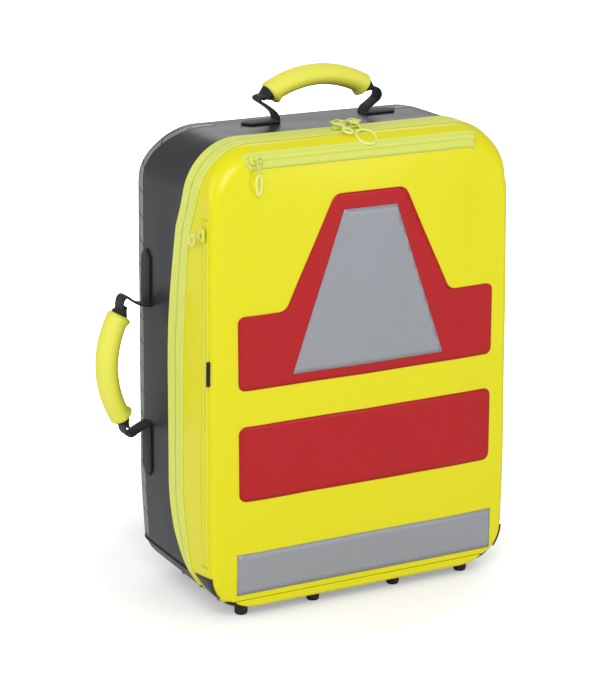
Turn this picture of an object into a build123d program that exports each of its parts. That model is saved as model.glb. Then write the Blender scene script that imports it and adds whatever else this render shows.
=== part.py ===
"""Trauma backpack, standing upright, as an assembly of named solids in millimetres.

+X is the right-hand side seen from the front, the front faces -Y, +Z is up and the feet stand on z = 0.
Everything is built about the bag's own middle; write_parts() then moves the whole bag so that the
origin is the middle of its base, with handles and harness counted.
"""

from build123d import *
from functools import cache
import math
import os

# Bag body
WIDTH_BASE = 388.0
WIDTH_TOP = 376.0
DEPTH = 204.0
TOP_Z = 549.0
BOTTOM_Z = 15.0
CORNER_TOP = 58.0
CORNER_BASE = 42.0
BACK_ROUND = 24.0
FRONT_TOP_ROUND = 26.0
SHELL_WALL = 4.0
LID_WALL = 3.0

# Line of the main zip in side view: quarter ellipse at the bottom, upright run, arc leaning forward
LIP = 4.5
HEM_Z = 24.0
SPLIT_DEPTH = 93.0
ELLIPSE_TOP_Z = 150.0
LEAN_START_Z = 270.0
SPLIT_LEAN = 49.0
SPLIT_GAP = 1.2

# Zips
TAPE_HALF = 17.5
TAPE_THICK = 1.0
BEAD_WIDTH = 2.8
BEAD_THICK = 2.2
SLIDER_LONG = 16.0
SLIDER_WIDE = 12.0
SLIDER_THICK = 3.0
SLIDER_AIR = 0.6
SLIDER_APART = 3.0
BAIL_LONG = 7.0
BAIL_WIDE = 3.0
BAIL_HIGH = 3.0
CORD = 2.2
RING_LONG = 24.0
RING_WIDE = 17.0
RING_BAND = 3.0
RING_THICK = 2.4
SIDE_ZIP_FROM_FRONT = 18.0
SIDE_ZIP_HALF = 8.0
SIDE_ZIP_LOW = 66.0
SIDE_ZIP_HIGH = 470.0
TOP_ZIP_HALF_LONG = 152.0
TOP_ZIP_ANGLE = 25.0
TOP_ZIP_SPREAD = 24.0

# Bottom
GUARD_THICK = 1.5
GUARD_TOP = 22.0
FOOT_RADIUS = 8.0
FOOT_CHAMFER = 1.0
FOOT_COLUMN = 148.0
FOOT_INNER_COLUMN = 54.0
FOOT_FRONT = 20.0
FOOT_PITCH = 48.0
FOOT_ROWS = 4

# Applied pieces on the front
TRIM = 0.6
FIELD_X = 6.0
FIELD_HALF_WIDTH = 166.0
BAR_LOW, BAR_HIGH = 144.0, 233.0
FIELD_LOW, FIELD_SHOULDER, FIELD_TOP = 275.0, 361.0, 488.0
FIELD_SHOULDER_HALF, FIELD_TOP_HALF = 107.0, 47.0
FIELD_ROUND = 9.0
BAND_LOW, BAND_HIGH = 31.0, 81.0
EMBLEM_LOW, EMBLEM_HIGH = 287.0, 470.0
EMBLEM_BASE_HALF, EMBLEM_TOP_HALF = 98.0, 34.0
TAB_LOW, TAB_HIGH, TAB_OUT, TAB_THICK = 284.0, 312.0, 5.0, 1.2
PATCH_POINTS = ((45.0, 50.0), (3.0, 56.0), (3.0, 30.0))

# Reflective strips on the shell walls
STRIP_FROM_BACK = 29.0
STRIP_WIDTH = 12.0
STRIP_LOW = 60.0

# Inside
INNER_PANEL_BACK = 19.0
INNER_PANEL_THICK = 3.0
BOARD_THICK = 2.5
BOARD_MARGIN = 32.0
DIVIDER_THICK = 8.0
SHELF_LOW_Z, SHELF_HIGH_Z = 190.0, 368.0
UPRIGHT_X = 0.0
DIVIDER_DEPTH = 82.0
SEAT_AIR = 0.3
POCKET_THICK = 6.0
POCKET_HALF = 150.0
POCKET_ROWS = ((205.0, 300.0), (325.0, 440.0))

# Handles: webbing with a padded grip, swinging in two standing anchor tabs
WEB = 24.0
WEB_THICK = 2.4
FOLD_RADIUS = 1.9
PIVOT_CLEAR = 0.9
GRIP_THICK = 23.0
GRIP_WIDE = 38.0
HANDLE_LEG = 57.0
HANDLE_RISE = 39.0
GRIP_HALF = 64.0
GRIP_SAG = 10.0
FOLD_OUT = 21.0
TOP_HANDLE_X = 5.0
TOP_HANDLE_Y = 20.0
SIDE_HANDLE_Y = 60.0
SIDE_HANDLE_Z = 272.0
SIDE_HANDLE_LEG = 72.0
SIDE_HANDLE_RISE = 45.0
PATCH_LONG = 46.0
PATCH_SIDE_LONG = 68.0
PATCH_THICK = 1.6
STUD_RADIUS = 5.0

# Carrying harness on the back
PAD_THICK = 10.0
UPPER_PAD = (250.0, 120.0, 334.0)
LUMBAR_PAD = (136.0, 130.0, 80.0)
PAD_ROUND = 28.0
YOKE_WIDE, YOKE_HIGH, YOKE_Z = 170.0, 40.0, 486.0
STRAP_WIDE = 62.0
STRAP_THICK = 12.0
STRAP_TOP_X, STRAP_MID_X, STRAP_LOW_X = 50.0, 76.0, 112.0
STRAP_TOP_Z, STRAP_MID_Z, STRAP_LOW_Z = 478.0, 330.0, 176.0
STRAP_BOW = 34.0
HARNESS_WEB = 25.0
HARNESS_WEB_THICK = 1.8
LOCK_Z = 150.0
LOCK_LONG, LOCK_WIDE, LOCK_THICK = 32.0, 36.0, 7.0
LOCK_ROUND = 6.0
LOCK_WINDOW_HIGH, LOCK_WINDOW_WIDE, LOCK_WINDOW_Z = 8.0, 26.0, 6.4
LOWER_ANCHOR_Z = 62.0
ANCHOR_HIGH = 26.0
ANCHOR_MARGIN = 4.0
STERNUM_Z = 372.0
STERNUM_WEB = 20.0
KEEPER_X = 68.0
KEEPER_LONG = 9.0
KEEPER_WALL = 1.4
BUCKLE_LONG, BUCKLE_WIDE, BUCKLE_THICK = 28.0, 30.0, 9.0
PRONG_LONG, PRONG_WIDE, PRONG_THICK = 18.0, 20.0, 4.0
PLUG_LONG = 15.0
BUCKLE_SPLIT_X = 3.0
BUCKLE_AIR = 0.4

# Run of each pull's cord before it bends, and the angle that it bends by
PULLS = {
    "main_left": (8.0, 12.0),
    "main_right": (6.0, 9.0),
    "top_pocket": (6.0, 28.0),
    "side_pocket": (4.0, 12.0),
}
SIDE_PULL_TURN = 205.0

# Worked out from the sizes above
FRONT_Y = -DEPTH / 2
BACK_Y = DEPTH / 2
LIP_Y = FRONT_Y + LIP
SPLIT_Y = FRONT_Y + SPLIT_DEPTH
SPLIT_TOP_Y = SPLIT_Y - SPLIT_LEAN
TAPER = (WIDTH_BASE - WIDTH_TOP) / 2 / (TOP_Z - BOTTOM_Z)
FAR = 40.0
TOP_PIVOT_Z = TOP_Z + WEB / 2 + PIVOT_CLEAR


def half_width(z):
    """Half the bag's width at a height."""
    return WIDTH_BASE / 2 - TAPER * (z - BOTTOM_Z)


SIDE_PIVOT_X = -half_width(SIDE_HANDLE_Z - SIDE_HANDLE_LEG) - WEB / 2 - PIVOT_CLEAR


def front_view(points):
    """Closed face in the XZ plane through (x, z) points."""
    return Plane.XZ * make_face(Polyline(*points, close=True))


def rounded(face, radius):
    """The face with every corner rounded."""
    return fillet(face.vertices(), radius)


@cache
def form(inset):
    """The whole bag as a solid block, inset from its outer skin (negative is outside it)."""
    base, top = BOTTOM_Z + inset, TOP_Z - inset
    outline = front_view(
        [
            (-half_width(base) + inset, base),
            (half_width(base) - inset, base),
            (half_width(top) - inset, top),
            (-half_width(top) + inset, top),
        ]
    )
    low = outline.vertices().sort_by(Axis.Z)[:2]
    outline = fillet(low, CORNER_BASE - inset)
    high = outline.vertices().sort_by(Axis.Z)[-2:]
    outline = fillet(high, CORNER_TOP - inset)
    bag = extrude(Pos(0, BACK_Y - inset, 0) * outline, DEPTH - 2 * inset)
    bag = fillet(bag.faces().sort_by(Axis.Y)[-1].edges(), BACK_ROUND - inset)
    return bag & front_top_round(inset)


def front_top_round(inset):
    """Side view of the bag with its top front edge rounded, drawn across the whole width."""
    radius = FRONT_TOP_ROUND - inset
    front, top = FRONT_Y + inset, TOP_Z - inset
    arc = CenterArc((front + radius, top - radius), radius, 90, 90)
    rest = Polyline(
        (front, top - radius),
        (front, 0),
        (BACK_Y + FAR, 0),
        (BACK_Y + FAR, top),
        (front + radius, top),
    )
    return across(make_face([arc, rest]))


def across(profile):
    """A (y, z) profile drawn across the whole bag."""
    return extrude(Plane.YZ * profile, WIDTH_BASE, both=True)


@cache
def lid_side(offset):
    """Everything in front of the main zip's line, which is moved back by offset."""
    lean_from = (SPLIT_Y + offset, LEAN_START_Z)
    lean_to = (SPLIT_TOP_Y + offset, TOP_Z)
    lean = TangentArc(lean_from, lean_to, tangent=(0, 1))
    curve = EllipticalCenterArc(
        (LIP_Y, ELLIPSE_TOP_Z),
        SPLIT_DEPTH - LIP + offset,
        ELLIPSE_TOP_Z - HEM_Z + offset,
        start_angle=270,
        arc_size=90,
    )
    upright = Line((SPLIT_Y + offset, ELLIPSE_TOP_Z), lean_from)
    rest = Polyline(
        lean_to,
        (SPLIT_TOP_Y + offset - FAR / 4, TOP_Z + FAR),
        (FRONT_Y - FAR, TOP_Z + FAR),
        (FRONT_Y - FAR, HEM_Z - offset),
        (LIP_Y, HEM_Z - offset),
    )
    return across(make_face([curve, upright, lean, rest]))


def block(low, high):
    """Box between two corners."""
    size = [abs(b - a) for a, b in zip(low, high)]
    middle = [(a + b) / 2 for a, b in zip(low, high)]
    return Pos(*middle) * Box(*size)


@cache
def skin(thick):
    """Layer lying on the outside of the bag."""
    return form(-thick) - form(0)


def ribbon(points, radius, thick, width, plane):
    """Flat webbing of a width, along a bent line drawn in a plane."""
    line = FilletPolyline(*points, radius=radius) if len(points) > 2 else Line(*points)
    return extrude(plane * trace(line, thick), width / 2, both=True)


def both_sides(solid):
    """A solid and its mirror image on the other side of the bag."""
    return [solid, mirror(solid, Plane.YZ)]


# Shell


def main_shell():
    hollow = form(0) - form(SHELL_WALL)
    return hollow - lid_side(SPLIT_GAP / 2)


def bottom_guard():
    low = block((-WIDTH_BASE, FRONT_Y - FAR, 0), (WIDTH_BASE, BACK_Y + FAR, GUARD_TOP))
    return skin(GUARD_THICK) & low


def foot_places():
    """Centres of the feet: outer columns have every row, inner columns only the end rows."""
    rows = [FRONT_Y + FOOT_FRONT + FOOT_PITCH * n for n in range(FOOT_ROWS)]
    outer = [(side * FOOT_COLUMN, y) for side in (-1, 1) for y in rows]
    inner = [(side * FOOT_INNER_COLUMN, y) for side in (-1, 1) for y in (rows[0], rows[-1])]
    return outer + inner


def feet():
    height = BOTTOM_Z - GUARD_THICK
    stud = Pos(0, 0, height / 2) * Cylinder(FOOT_RADIUS, height)
    stud = chamfer(stud.edges().sort_by(Axis.Z)[0], FOOT_CHAMFER)
    return [Pos(x, y, 0) * stud for x, y in foot_places()]


def reflective_strip(side):
    """Segmented strip along one side wall, near the back."""
    y = BACK_Y - STRIP_FROM_BACK
    top = TOP_Z - CORNER_TOP
    low = block(
        (side * WIDTH_BASE, y, STRIP_LOW), (side * WIDTH_BASE / 4, y + STRIP_WIDTH, top)
    )
    return skin(TRIM) & low


# Lid


def lid_shell():
    return (form(0) & lid_side(-SPLIT_GAP / 2)) - form(LID_WALL)


def lid_inner_panel():
    layer = lid_side(-INNER_PANEL_BACK) - lid_side(-INNER_PANEL_BACK - INNER_PANEL_THICK)
    above_hem = block(
        (-WIDTH_BASE, FRONT_Y, HEM_Z + TAPE_HALF), (WIDTH_BASE, BACK_Y, TOP_Z + FAR)
    )
    return layer & form(LID_WALL) & above_hem


def lid_pockets():
    """Flat pockets on the inner panel, facing the main compartment."""
    pockets = []
    for low, high in POCKET_ROWS:
        zone = block((-POCKET_HALF, FRONT_Y, low), (POCKET_HALF, BACK_Y, high))
        layer = lid_side(POCKET_THICK - INNER_PANEL_BACK) - lid_side(-INNER_PANEL_BACK)
        pockets.append(layer & zone)
    return pockets


def patch_prism():
    """Side view of the patches that cover the lower ends of the main zip."""
    points = [(FRONT_Y + out, z) for out, z in PATCH_POINTS]
    return across(make_face(Polyline(*points, close=True)))


def zip_end_patches():
    return skin(GUARD_THICK) & patch_prism()


def main_zip_half(side):
    """Tape and chain of one half of the main zip: side 1 is the shell's, -1 the lid's."""
    near = lid_side(side * SPLIT_GAP / 2)
    bead = lid_side(side * (SPLIT_GAP / 2 + BEAD_WIDTH))
    far = lid_side(side * TAPE_HALF)
    tape_zone = far - near if side > 0 else near - far
    bead_zone = bead - near if side > 0 else near - bead
    tape = (skin(TAPE_THICK) & tape_zone) + (skin(BEAD_THICK) & bead_zone)
    above = block(
        (-WIDTH_BASE, FRONT_Y + LIP, HEM_Z + SEAT_AIR), (WIDTH_BASE, BACK_Y, TOP_Z + FAR)
    )
    return (tape & above) - patch_prism()


# Pocket zips


def side_zip():
    """Tape and chain of the side pocket's zip, on the lid's left wall."""
    y = FRONT_Y + SIDE_ZIP_FROM_FRONT
    tape = block(
        (-WIDTH_BASE, y - SIDE_ZIP_HALF, SIDE_ZIP_LOW), (0, y + SIDE_ZIP_HALF, SIDE_ZIP_HIGH)
    )
    chain = block(
        (-WIDTH_BASE, y - BEAD_WIDTH, SIDE_ZIP_LOW), (0, y + BEAD_WIDTH, SIDE_ZIP_HIGH)
    )
    return (skin(TAPE_THICK) & tape) + (skin(BEAD_THICK) & chain)


def top_zip():
    """Tape and chain of the top pocket's zip, round the top front edge."""
    zone = block(
        (-TOP_ZIP_HALF_LONG, FRONT_Y - FAR, TOP_Z - FRONT_TOP_ROUND),
        (TOP_ZIP_HALF_LONG, FRONT_Y + FRONT_TOP_ROUND, TOP_Z + FAR),
    )
    centre = (FRONT_Y + FRONT_TOP_ROUND, TOP_Z - FRONT_TOP_ROUND)
    tape = skin(TAPE_THICK) & zone & wedge(centre, TOP_ZIP_ANGLE, TOP_ZIP_SPREAD)
    chain_spread = math.degrees(BEAD_WIDTH / FRONT_TOP_ROUND)
    chain = skin(BEAD_THICK) & zone & wedge(centre, TOP_ZIP_ANGLE, chain_spread)
    return tape + chain


def wedge(centre, angle, spread):
    """Sector of a side view about a centre, spread to each side of an angle above the front."""
    reach = FAR * 2
    points = [centre]
    for turn in (angle - spread, angle + spread):
        a = math.radians(180 - turn)
        points.append((centre[0] + reach * math.cos(a), centre[1] + reach * math.sin(a)))
    return across(make_face(Polyline(*points, close=True)))


def slider_body():
    """Zip slider lying on the chain: zip along X, outside towards +Z, middle of the chain at 0."""
    floor = BEAD_THICK + SLIDER_AIR
    plate = block(
        (-SLIDER_LONG / 2, -SLIDER_WIDE / 2, floor),
        (SLIDER_LONG / 2, SLIDER_WIDE / 2, floor + SLIDER_THICK),
    )
    plate = fillet(plate.edges().filter_by(Axis.Z), SLIDER_WIDE / 4)
    bail = block(
        (-BAIL_LONG / 2, -BAIL_WIDE / 2, floor + SLIDER_THICK),
        (BAIL_LONG / 2, BAIL_WIDE / 2, floor + SLIDER_THICK + BAIL_HIGH),
    )
    hole = Pos(0, 0, floor + SLIDER_THICK) * Cylinder(CORD, BAIL_WIDE * 2, rotation=(90, 0, 0))
    return plate + (bail - hole)


def bail_middle():
    """Height of the bail's middle over the skin: the pull turns about it."""
    return BEAD_THICK + SLIDER_AIR + SLIDER_THICK + BAIL_HIGH / 2


def pull(reach, drop):
    """Cord and ring of a zip pull: from the bail outwards along -Y, then bent down by a drop."""
    high = bail_middle()
    near = math.hypot(BAIL_WIDE, BAIL_HIGH) / 2 + SEAT_AIR
    start, knee = Vector(0, -near, high), Vector(0, -near - reach, high)
    fall = Vector(0, -math.cos(math.radians(drop)), -math.sin(math.radians(drop)))
    tip = knee + fall * RING_BAND * 2
    path = FilletPolyline(start, knee, tip, radius=CORD * 2) if drop else Line(start, tip)
    cord = sweep(Plane(path @ 0, z_dir=path % 0) * Circle(CORD / 2), path)
    ring = SlotOverall(RING_LONG, RING_WIDE) - SlotOverall(
        RING_LONG - 2 * RING_BAND, RING_WIDE - 2 * RING_BAND
    )
    middle = tip + fall * (RING_LONG / 2 - RING_BAND / 2)
    normal = Vector(1, 0, 0).cross(fall)
    place = Plane(middle, x_dir=fall, z_dir=normal)
    return cord + extrude(place * ring, RING_THICK / 2, both=True)


def split_y(z):
    """How far back the main zip's line is at a height in its leaning stretch."""
    rise = TOP_Z - LEAN_START_Z
    radius = (rise**2 + SPLIT_LEAN**2) / (2 * SPLIT_LEAN)
    return SPLIT_Y - radius + math.sqrt(radius**2 - (z - LEAN_START_Z) ** 2)


def seats():
    """Every slider's place on the bag's skin by name: X along its zip, Z outwards."""
    side = (SLIDER_LONG + SLIDER_APART) / 2
    top_y = split_y(TOP_Z)
    angle = math.radians(TOP_ZIP_ANGLE)
    outward = (0, -math.cos(angle), math.sin(angle))
    edge = (
        -TOP_ZIP_HALF_LONG + SLIDER_LONG,
        FRONT_Y + FRONT_TOP_ROUND * (1 - math.cos(angle)),
        TOP_Z - FRONT_TOP_ROUND * (1 - math.sin(angle)),
    )
    start_z = SIDE_ZIP_HIGH - SLIDER_LONG
    wall = (-half_width(start_z), FRONT_Y + SIDE_ZIP_FROM_FRONT, start_z)
    return {
        "main_left": Plane((-side, top_y, TOP_Z), (1, 0, 0), (0, 0, 1)),
        "main_right": Plane((side, top_y, TOP_Z), (1, 0, 0), (0, 0, 1)),
        "top_pocket": Plane(edge, (1, 0, 0), outward),
        "side_pocket": Plane(wall, (TAPER, 0, 1), (-1, 0, TAPER)),
    }


def pull_place(name):
    """Where a slider's pull lies: as the slider, or turned about it to hang to the back."""
    seat = seats()[name]
    if name != "side_pocket":
        return seat
    turn = math.radians(SIDE_PULL_TURN)
    along = seat.x_dir * math.cos(turn) + seat.y_dir * math.sin(turn)
    return Plane(seat.origin, x_dir=along, z_dir=seat.z_dir)


# Applied pieces on the front


def on_front(face, thick):
    """A (x, z) face laid on the front panel."""
    return extrude(Pos(FIELD_X, FRONT_Y, 0) * face, thick)


def box_face(half, low, high):
    """An upright rectangle about the middle, as an (x, z) face."""
    return front_view([(-half, low), (half, low), (half, high), (-half, high)])


def upper_field():
    face = front_view(
        [
            (-FIELD_HALF_WIDTH, FIELD_LOW),
            (FIELD_HALF_WIDTH, FIELD_LOW),
            (FIELD_HALF_WIDTH, FIELD_SHOULDER),
            (FIELD_SHOULDER_HALF, FIELD_SHOULDER),
            (FIELD_TOP_HALF, FIELD_TOP),
            (-FIELD_TOP_HALF, FIELD_TOP),
            (-FIELD_SHOULDER_HALF, FIELD_SHOULDER),
            (-FIELD_HALF_WIDTH, FIELD_SHOULDER),
        ]
    )
    return on_front(rounded(face, FIELD_ROUND), TRIM) - reflective_emblem()


def reflective_emblem():
    face = front_view(
        [
            (-EMBLEM_BASE_HALF, EMBLEM_LOW),
            (EMBLEM_BASE_HALF, EMBLEM_LOW),
            (EMBLEM_TOP_HALF, EMBLEM_HIGH),
            (-EMBLEM_TOP_HALF, EMBLEM_HIGH),
        ]
    )
    return on_front(face, TRIM)


def seam_tab():
    """Small folded tab standing out of the left front seam."""
    middle = (TAB_LOW + TAB_HIGH) / 2
    edge = -half_width(middle) - SEAT_AIR
    front = FRONT_Y + SEAT_AIR
    return block((edge - TAB_OUT, front, TAB_LOW), (edge, front + TAB_THICK, TAB_HIGH))


# Inside


def back_board():
    inner = BACK_Y - SHELL_WALL
    half = WIDTH_TOP / 2 - BOARD_MARGIN - SHELL_WALL
    face = box_face(half, BOTTOM_Z + BOARD_MARGIN + SHELL_WALL, TOP_Z - BOARD_MARGIN - SHELL_WALL)
    return extrude(Pos(0, inner, 0) * rounded(face, BOARD_MARGIN), BOARD_THICK)


def divider_space():
    """Room for the dividers: inside the shell, in front of the board."""
    rear = BACK_Y - SHELL_WALL - BOARD_THICK - SEAT_AIR
    zone = block((-WIDTH_BASE, rear - DIVIDER_DEPTH, 0), (WIDTH_BASE, rear, TOP_Z + FAR))
    return form(SHELL_WALL + SEAT_AIR) & zone


def shelf(z):
    layer = block(
        (-WIDTH_BASE, FRONT_Y, z - DIVIDER_THICK / 2), (WIDTH_BASE, BACK_Y, z + DIVIDER_THICK / 2)
    )
    return divider_space() & layer


def upright():
    half = DIVIDER_THICK / 2
    layer = block(
        (UPRIGHT_X - half, FRONT_Y, SHELF_LOW_Z + half + SEAT_AIR),
        (UPRIGHT_X + half, BACK_Y, SHELF_HIGH_Z - half - SEAT_AIR),
    )
    return divider_space() & layer


# Handles, drawn with the grip along X and the webbing's swing axis along X through z = 0


def grip(rise, half, sag):
    """Padded sleeve round the webbing, bowed away from the bag."""
    path = ThreePointArc((-half, 0, rise - sag), (0, 0, rise), (half, 0, rise - sag))
    section = Plane(path @ 0, x_dir=(0, 1, 0), z_dir=path % 0)
    return sweep(section * Ellipse(GRIP_WIDE / 2, GRIP_THICK / 2), path)


def handle_webbing(leg, rise, half, sag):
    """One leg of the webbing at each end: round tab on the axis, then out and back to the grip."""
    start = leg - WEB_THICK - SEAT_AIR - WEB_THICK / 2
    clear = WEB / 2 + WEB_THICK + SEAT_AIR
    end = Vector(half, rise - sag)
    turn = 2 * math.atan(sag / half)
    slope = Vector(math.cos(turn), -math.sin(turn))
    points = [(start, WEB / 4), (start, clear), end + slope * FOLD_OUT, end + slope * SEAT_AIR]
    strap = ribbon(points, FOLD_RADIUS, WEB_THICK, WEB, Plane.XZ)
    tab = Pos(start, 0, 0) * Cylinder(WEB / 2, WEB_THICK, rotation=(0, 90, 0))
    return both_sides(strap + tab)


def anchors(place, leg, long):
    """Sewn anchors of a handle: a round tab standing up to the swing axis, a pointed patch."""
    tab = Pos(leg - WEB_THICK / 2, 0, 0) * Cylinder(WEB / 2, WEB_THICK, rotation=(0, 90, 0))
    post = block((leg - WEB_THICK, -WEB / 2, -WEB), (leg, WEB / 2, 0))
    outline = make_face(
        Polyline(
            (leg - WEB_THICK, -WEB / 2),
            (leg + long - WEB / 2, -WEB / 2),
            (leg + long, 0),
            (leg + long - WEB / 2, WEB / 2),
            (leg - WEB_THICK, WEB / 2),
            close=True,
        )
    )
    prism = extrude(outline, WEB, both=True)
    bag, layer = form(0), skin(PATCH_THICK)
    tabs = [(place * solid) - bag for solid in both_sides(tab + post)]
    patches = [(place * solid) & layer for solid in both_sides(prism)]
    return [tab + patch for tab, patch in zip(tabs, patches)]


def top_handle_place():
    return Location((TOP_HANDLE_X, TOP_HANDLE_Y, TOP_PIVOT_Z))


def side_handle_place():
    """The side handle is the same one turned: its grip runs up and it stands out to -X."""
    return Location(Plane((SIDE_PIVOT_X, SIDE_HANDLE_Y, SIDE_HANDLE_Z), (0, 0, 1), (-1, 0, 0)))


def press_stud():
    """Cap of the press stud on the right leg of the top handle."""
    start = HANDLE_LEG - 2 * WEB_THICK - SEAT_AIR
    cap = Pos(start - WEB_THICK / 2, 0, STUD_RADIUS) * Cylinder(
        STUD_RADIUS, WEB_THICK, rotation=(0, 90, 0)
    )
    return top_handle_place() * cap


# Harness


def back_pad(size):
    width, high, low = size
    face = box_face(width / 2, low, low + high)
    pad = extrude(Pos(0, BACK_Y + PAD_THICK, 0) * rounded(face, PAD_ROUND), PAD_THICK)
    rim = pad.faces().sort_by(Axis.Y)[-1].edges()
    return fillet(rim, PAD_THICK / 2)


def yoke():
    """Sewn block on the back that holds the upper ends of the shoulder straps."""
    face = box_face(YOKE_WIDE / 2, YOKE_Z - YOKE_HIGH / 2, YOKE_Z + YOKE_HIGH / 2)
    return extrude(Pos(0, BACK_Y + PAD_THICK / 2, 0) * rounded(face, YOKE_HIGH / 4), PAD_THICK / 2)


def strap_band(gap, thick):
    """Side view of a shoulder strap's bow, standing off the back."""
    seat = BACK_Y + PAD_THICK / 2 + gap
    line = ThreePointArc(
        (seat + thick / 2, STRAP_TOP_Z),
        (seat + thick / 2 + STRAP_BOW, STRAP_MID_Z),
        (seat + thick / 2, STRAP_LOW_Z),
    )
    return across(trace(line, thick))


def shoulder_strap(side):
    """Padded strap: bowed in side view, and leaning outwards in front view."""
    half = STRAP_WIDE / 2
    middle = Spline(
        (side * STRAP_TOP_X, STRAP_TOP_Z + half),
        (side * STRAP_MID_X, STRAP_MID_Z),
        (side * STRAP_LOW_X, STRAP_LOW_Z - half),
    )
    outline = Plane.XZ * trace(middle, STRAP_WIDE)
    cut = extrude(outline, DEPTH * 2, both=True)
    return strap_band(SEAT_AIR, STRAP_THICK) & cut


def lower_webbing(side):
    """Webbing from the end of a strap through its ladder lock to the lower anchor."""
    start_y = BACK_Y + PAD_THICK / 2 + STRAP_THICK / 2
    low_y = BACK_Y + HARNESS_WEB_THICK
    points = [
        (start_y, STRAP_LOW_Z - STRAP_THICK / 4),
        (start_y, LOCK_Z - LOCK_LONG),
        (low_y, LOWER_ANCHOR_Z),
    ]
    plane = Plane((side * STRAP_LOW_X, 0, 0), x_dir=(0, 1, 0), z_dir=(1, 0, 0))
    return ribbon(points, LOCK_LONG, HARNESS_WEB_THICK, HARNESS_WEB, plane)


def ladder_lock(side):
    """Ladder-lock buckle round the webbing, with two windows that leave a bar between them."""
    y = BACK_Y + PAD_THICK / 2 + STRAP_THICK / 2
    frame = Box(LOCK_WIDE, LOCK_THICK, LOCK_LONG)
    frame = fillet(frame.edges().filter_by(Axis.Y), LOCK_ROUND)
    slot = Box(LOCK_WINDOW_WIDE, HARNESS_WEB_THICK + 2 * SEAT_AIR, LOCK_LONG * 2)
    window = Box(LOCK_WINDOW_WIDE, LOCK_THICK * 2, LOCK_WINDOW_HIGH)
    for place in (-LOCK_WINDOW_Z, LOCK_WINDOW_Z):
        frame = frame - Pos(0, 0, place) * window
    return Pos(side * STRAP_LOW_X, y, LOCK_Z) * (frame - slot)


def lower_anchor(side):
    """Sewn tab near the bottom corner that holds the lower webbing."""
    half = HARNESS_WEB / 2 + ANCHOR_MARGIN
    x = side * STRAP_LOW_X
    return block(
        (x - half, BACK_Y, LOWER_ANCHOR_Z - ANCHOR_HIGH / 2),
        (x + half, BACK_Y + HARNESS_WEB_THICK / 2 - SEAT_AIR / 2, LOWER_ANCHOR_Z + ANCHOR_HIGH / 2),
    )


def strap_outer_y(z):
    """Outermost face of the shoulder straps at a height."""
    half_chord = (STRAP_TOP_Z - STRAP_LOW_Z) / 2
    middle_z = (STRAP_TOP_Z + STRAP_LOW_Z) / 2
    radius = (half_chord**2 + STRAP_BOW**2) / (2 * STRAP_BOW) + STRAP_THICK / 2
    crest = BACK_Y + PAD_THICK / 2 + SEAT_AIR + STRAP_BOW + STRAP_THICK
    return crest - radius + math.sqrt(radius**2 - (z - middle_z) ** 2)


def sternum_y():
    """Middle of the sternum webbing, over the keepers' inner walls."""
    lowest = STERNUM_Z - STERNUM_WEB / 2 - KEEPER_WALL
    return strap_outer_y(lowest) + SEAT_AIR + KEEPER_WALL + HARNESS_WEB_THICK / 2 + SEAT_AIR


def keeper(side):
    """Loop on a shoulder strap that the sternum webbing runs through."""
    deep = HARNESS_WEB_THICK + 2 * SEAT_AIR
    high = STERNUM_WEB + 2 * SEAT_AIR
    shape = Box(KEEPER_LONG, deep + 2 * KEEPER_WALL, high + 2 * KEEPER_WALL)
    shape = shape - Box(KEEPER_LONG * 2, deep, high)
    return Pos(side * KEEPER_X, sternum_y(), STERNUM_Z) * shape


def sternum_webbing(side):
    """Half of the sternum strap, from the buckle out through its keeper."""
    inner = BUCKLE_SPLIT_X + BUCKLE_LONG if side > 0 else BUCKLE_SPLIT_X - BUCKLE_AIR - PLUG_LONG
    outer = side * (KEEPER_X + STRAP_WIDE / 3)
    middle, thick = sternum_y(), HARNESS_WEB_THICK / 2
    low, high = sorted((inner, outer))
    return block(
        (low, middle - thick, STERNUM_Z - STERNUM_WEB / 2),
        (high, middle + thick, STERNUM_Z + STERNUM_WEB / 2),
    )


def buckle_block(x_low, x_high, wide, thick):
    """Block of the buckle between two places along the strap."""
    return Pos((x_low + x_high) / 2, sternum_y(), STERNUM_Z) * Box(x_high - x_low, thick, wide)


def buckle_body():
    """Socket half of the side-release buckle."""
    right = BUCKLE_SPLIT_X + BUCKLE_LONG
    body = buckle_block(BUCKLE_SPLIT_X, right, BUCKLE_WIDE, BUCKLE_THICK)
    body = fillet(body.edges().filter_by(Axis.Y), BUCKLE_WIDE / 8)
    air = 2 * BUCKLE_AIR
    deep = BUCKLE_SPLIT_X + PRONG_LONG + BUCKLE_AIR
    mouth = BUCKLE_SPLIT_X - BUCKLE_LONG
    return body - buckle_block(mouth, deep, PRONG_WIDE + air, PRONG_THICK + air)


def buckle_plug():
    """Plug half of the buckle: a stem and the prongs inside the socket."""
    split = BUCKLE_SPLIT_X - BUCKLE_AIR
    stem = buckle_block(split - PLUG_LONG, split, BUCKLE_WIDE, BUCKLE_THICK)
    stem = fillet(stem.edges().filter_by(Axis.Y), BUCKLE_WIDE / 8)
    prongs = buckle_block(split, BUCKLE_SPLIT_X + PRONG_LONG, PRONG_WIDE, PRONG_THICK)
    return stem + prongs


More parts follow.
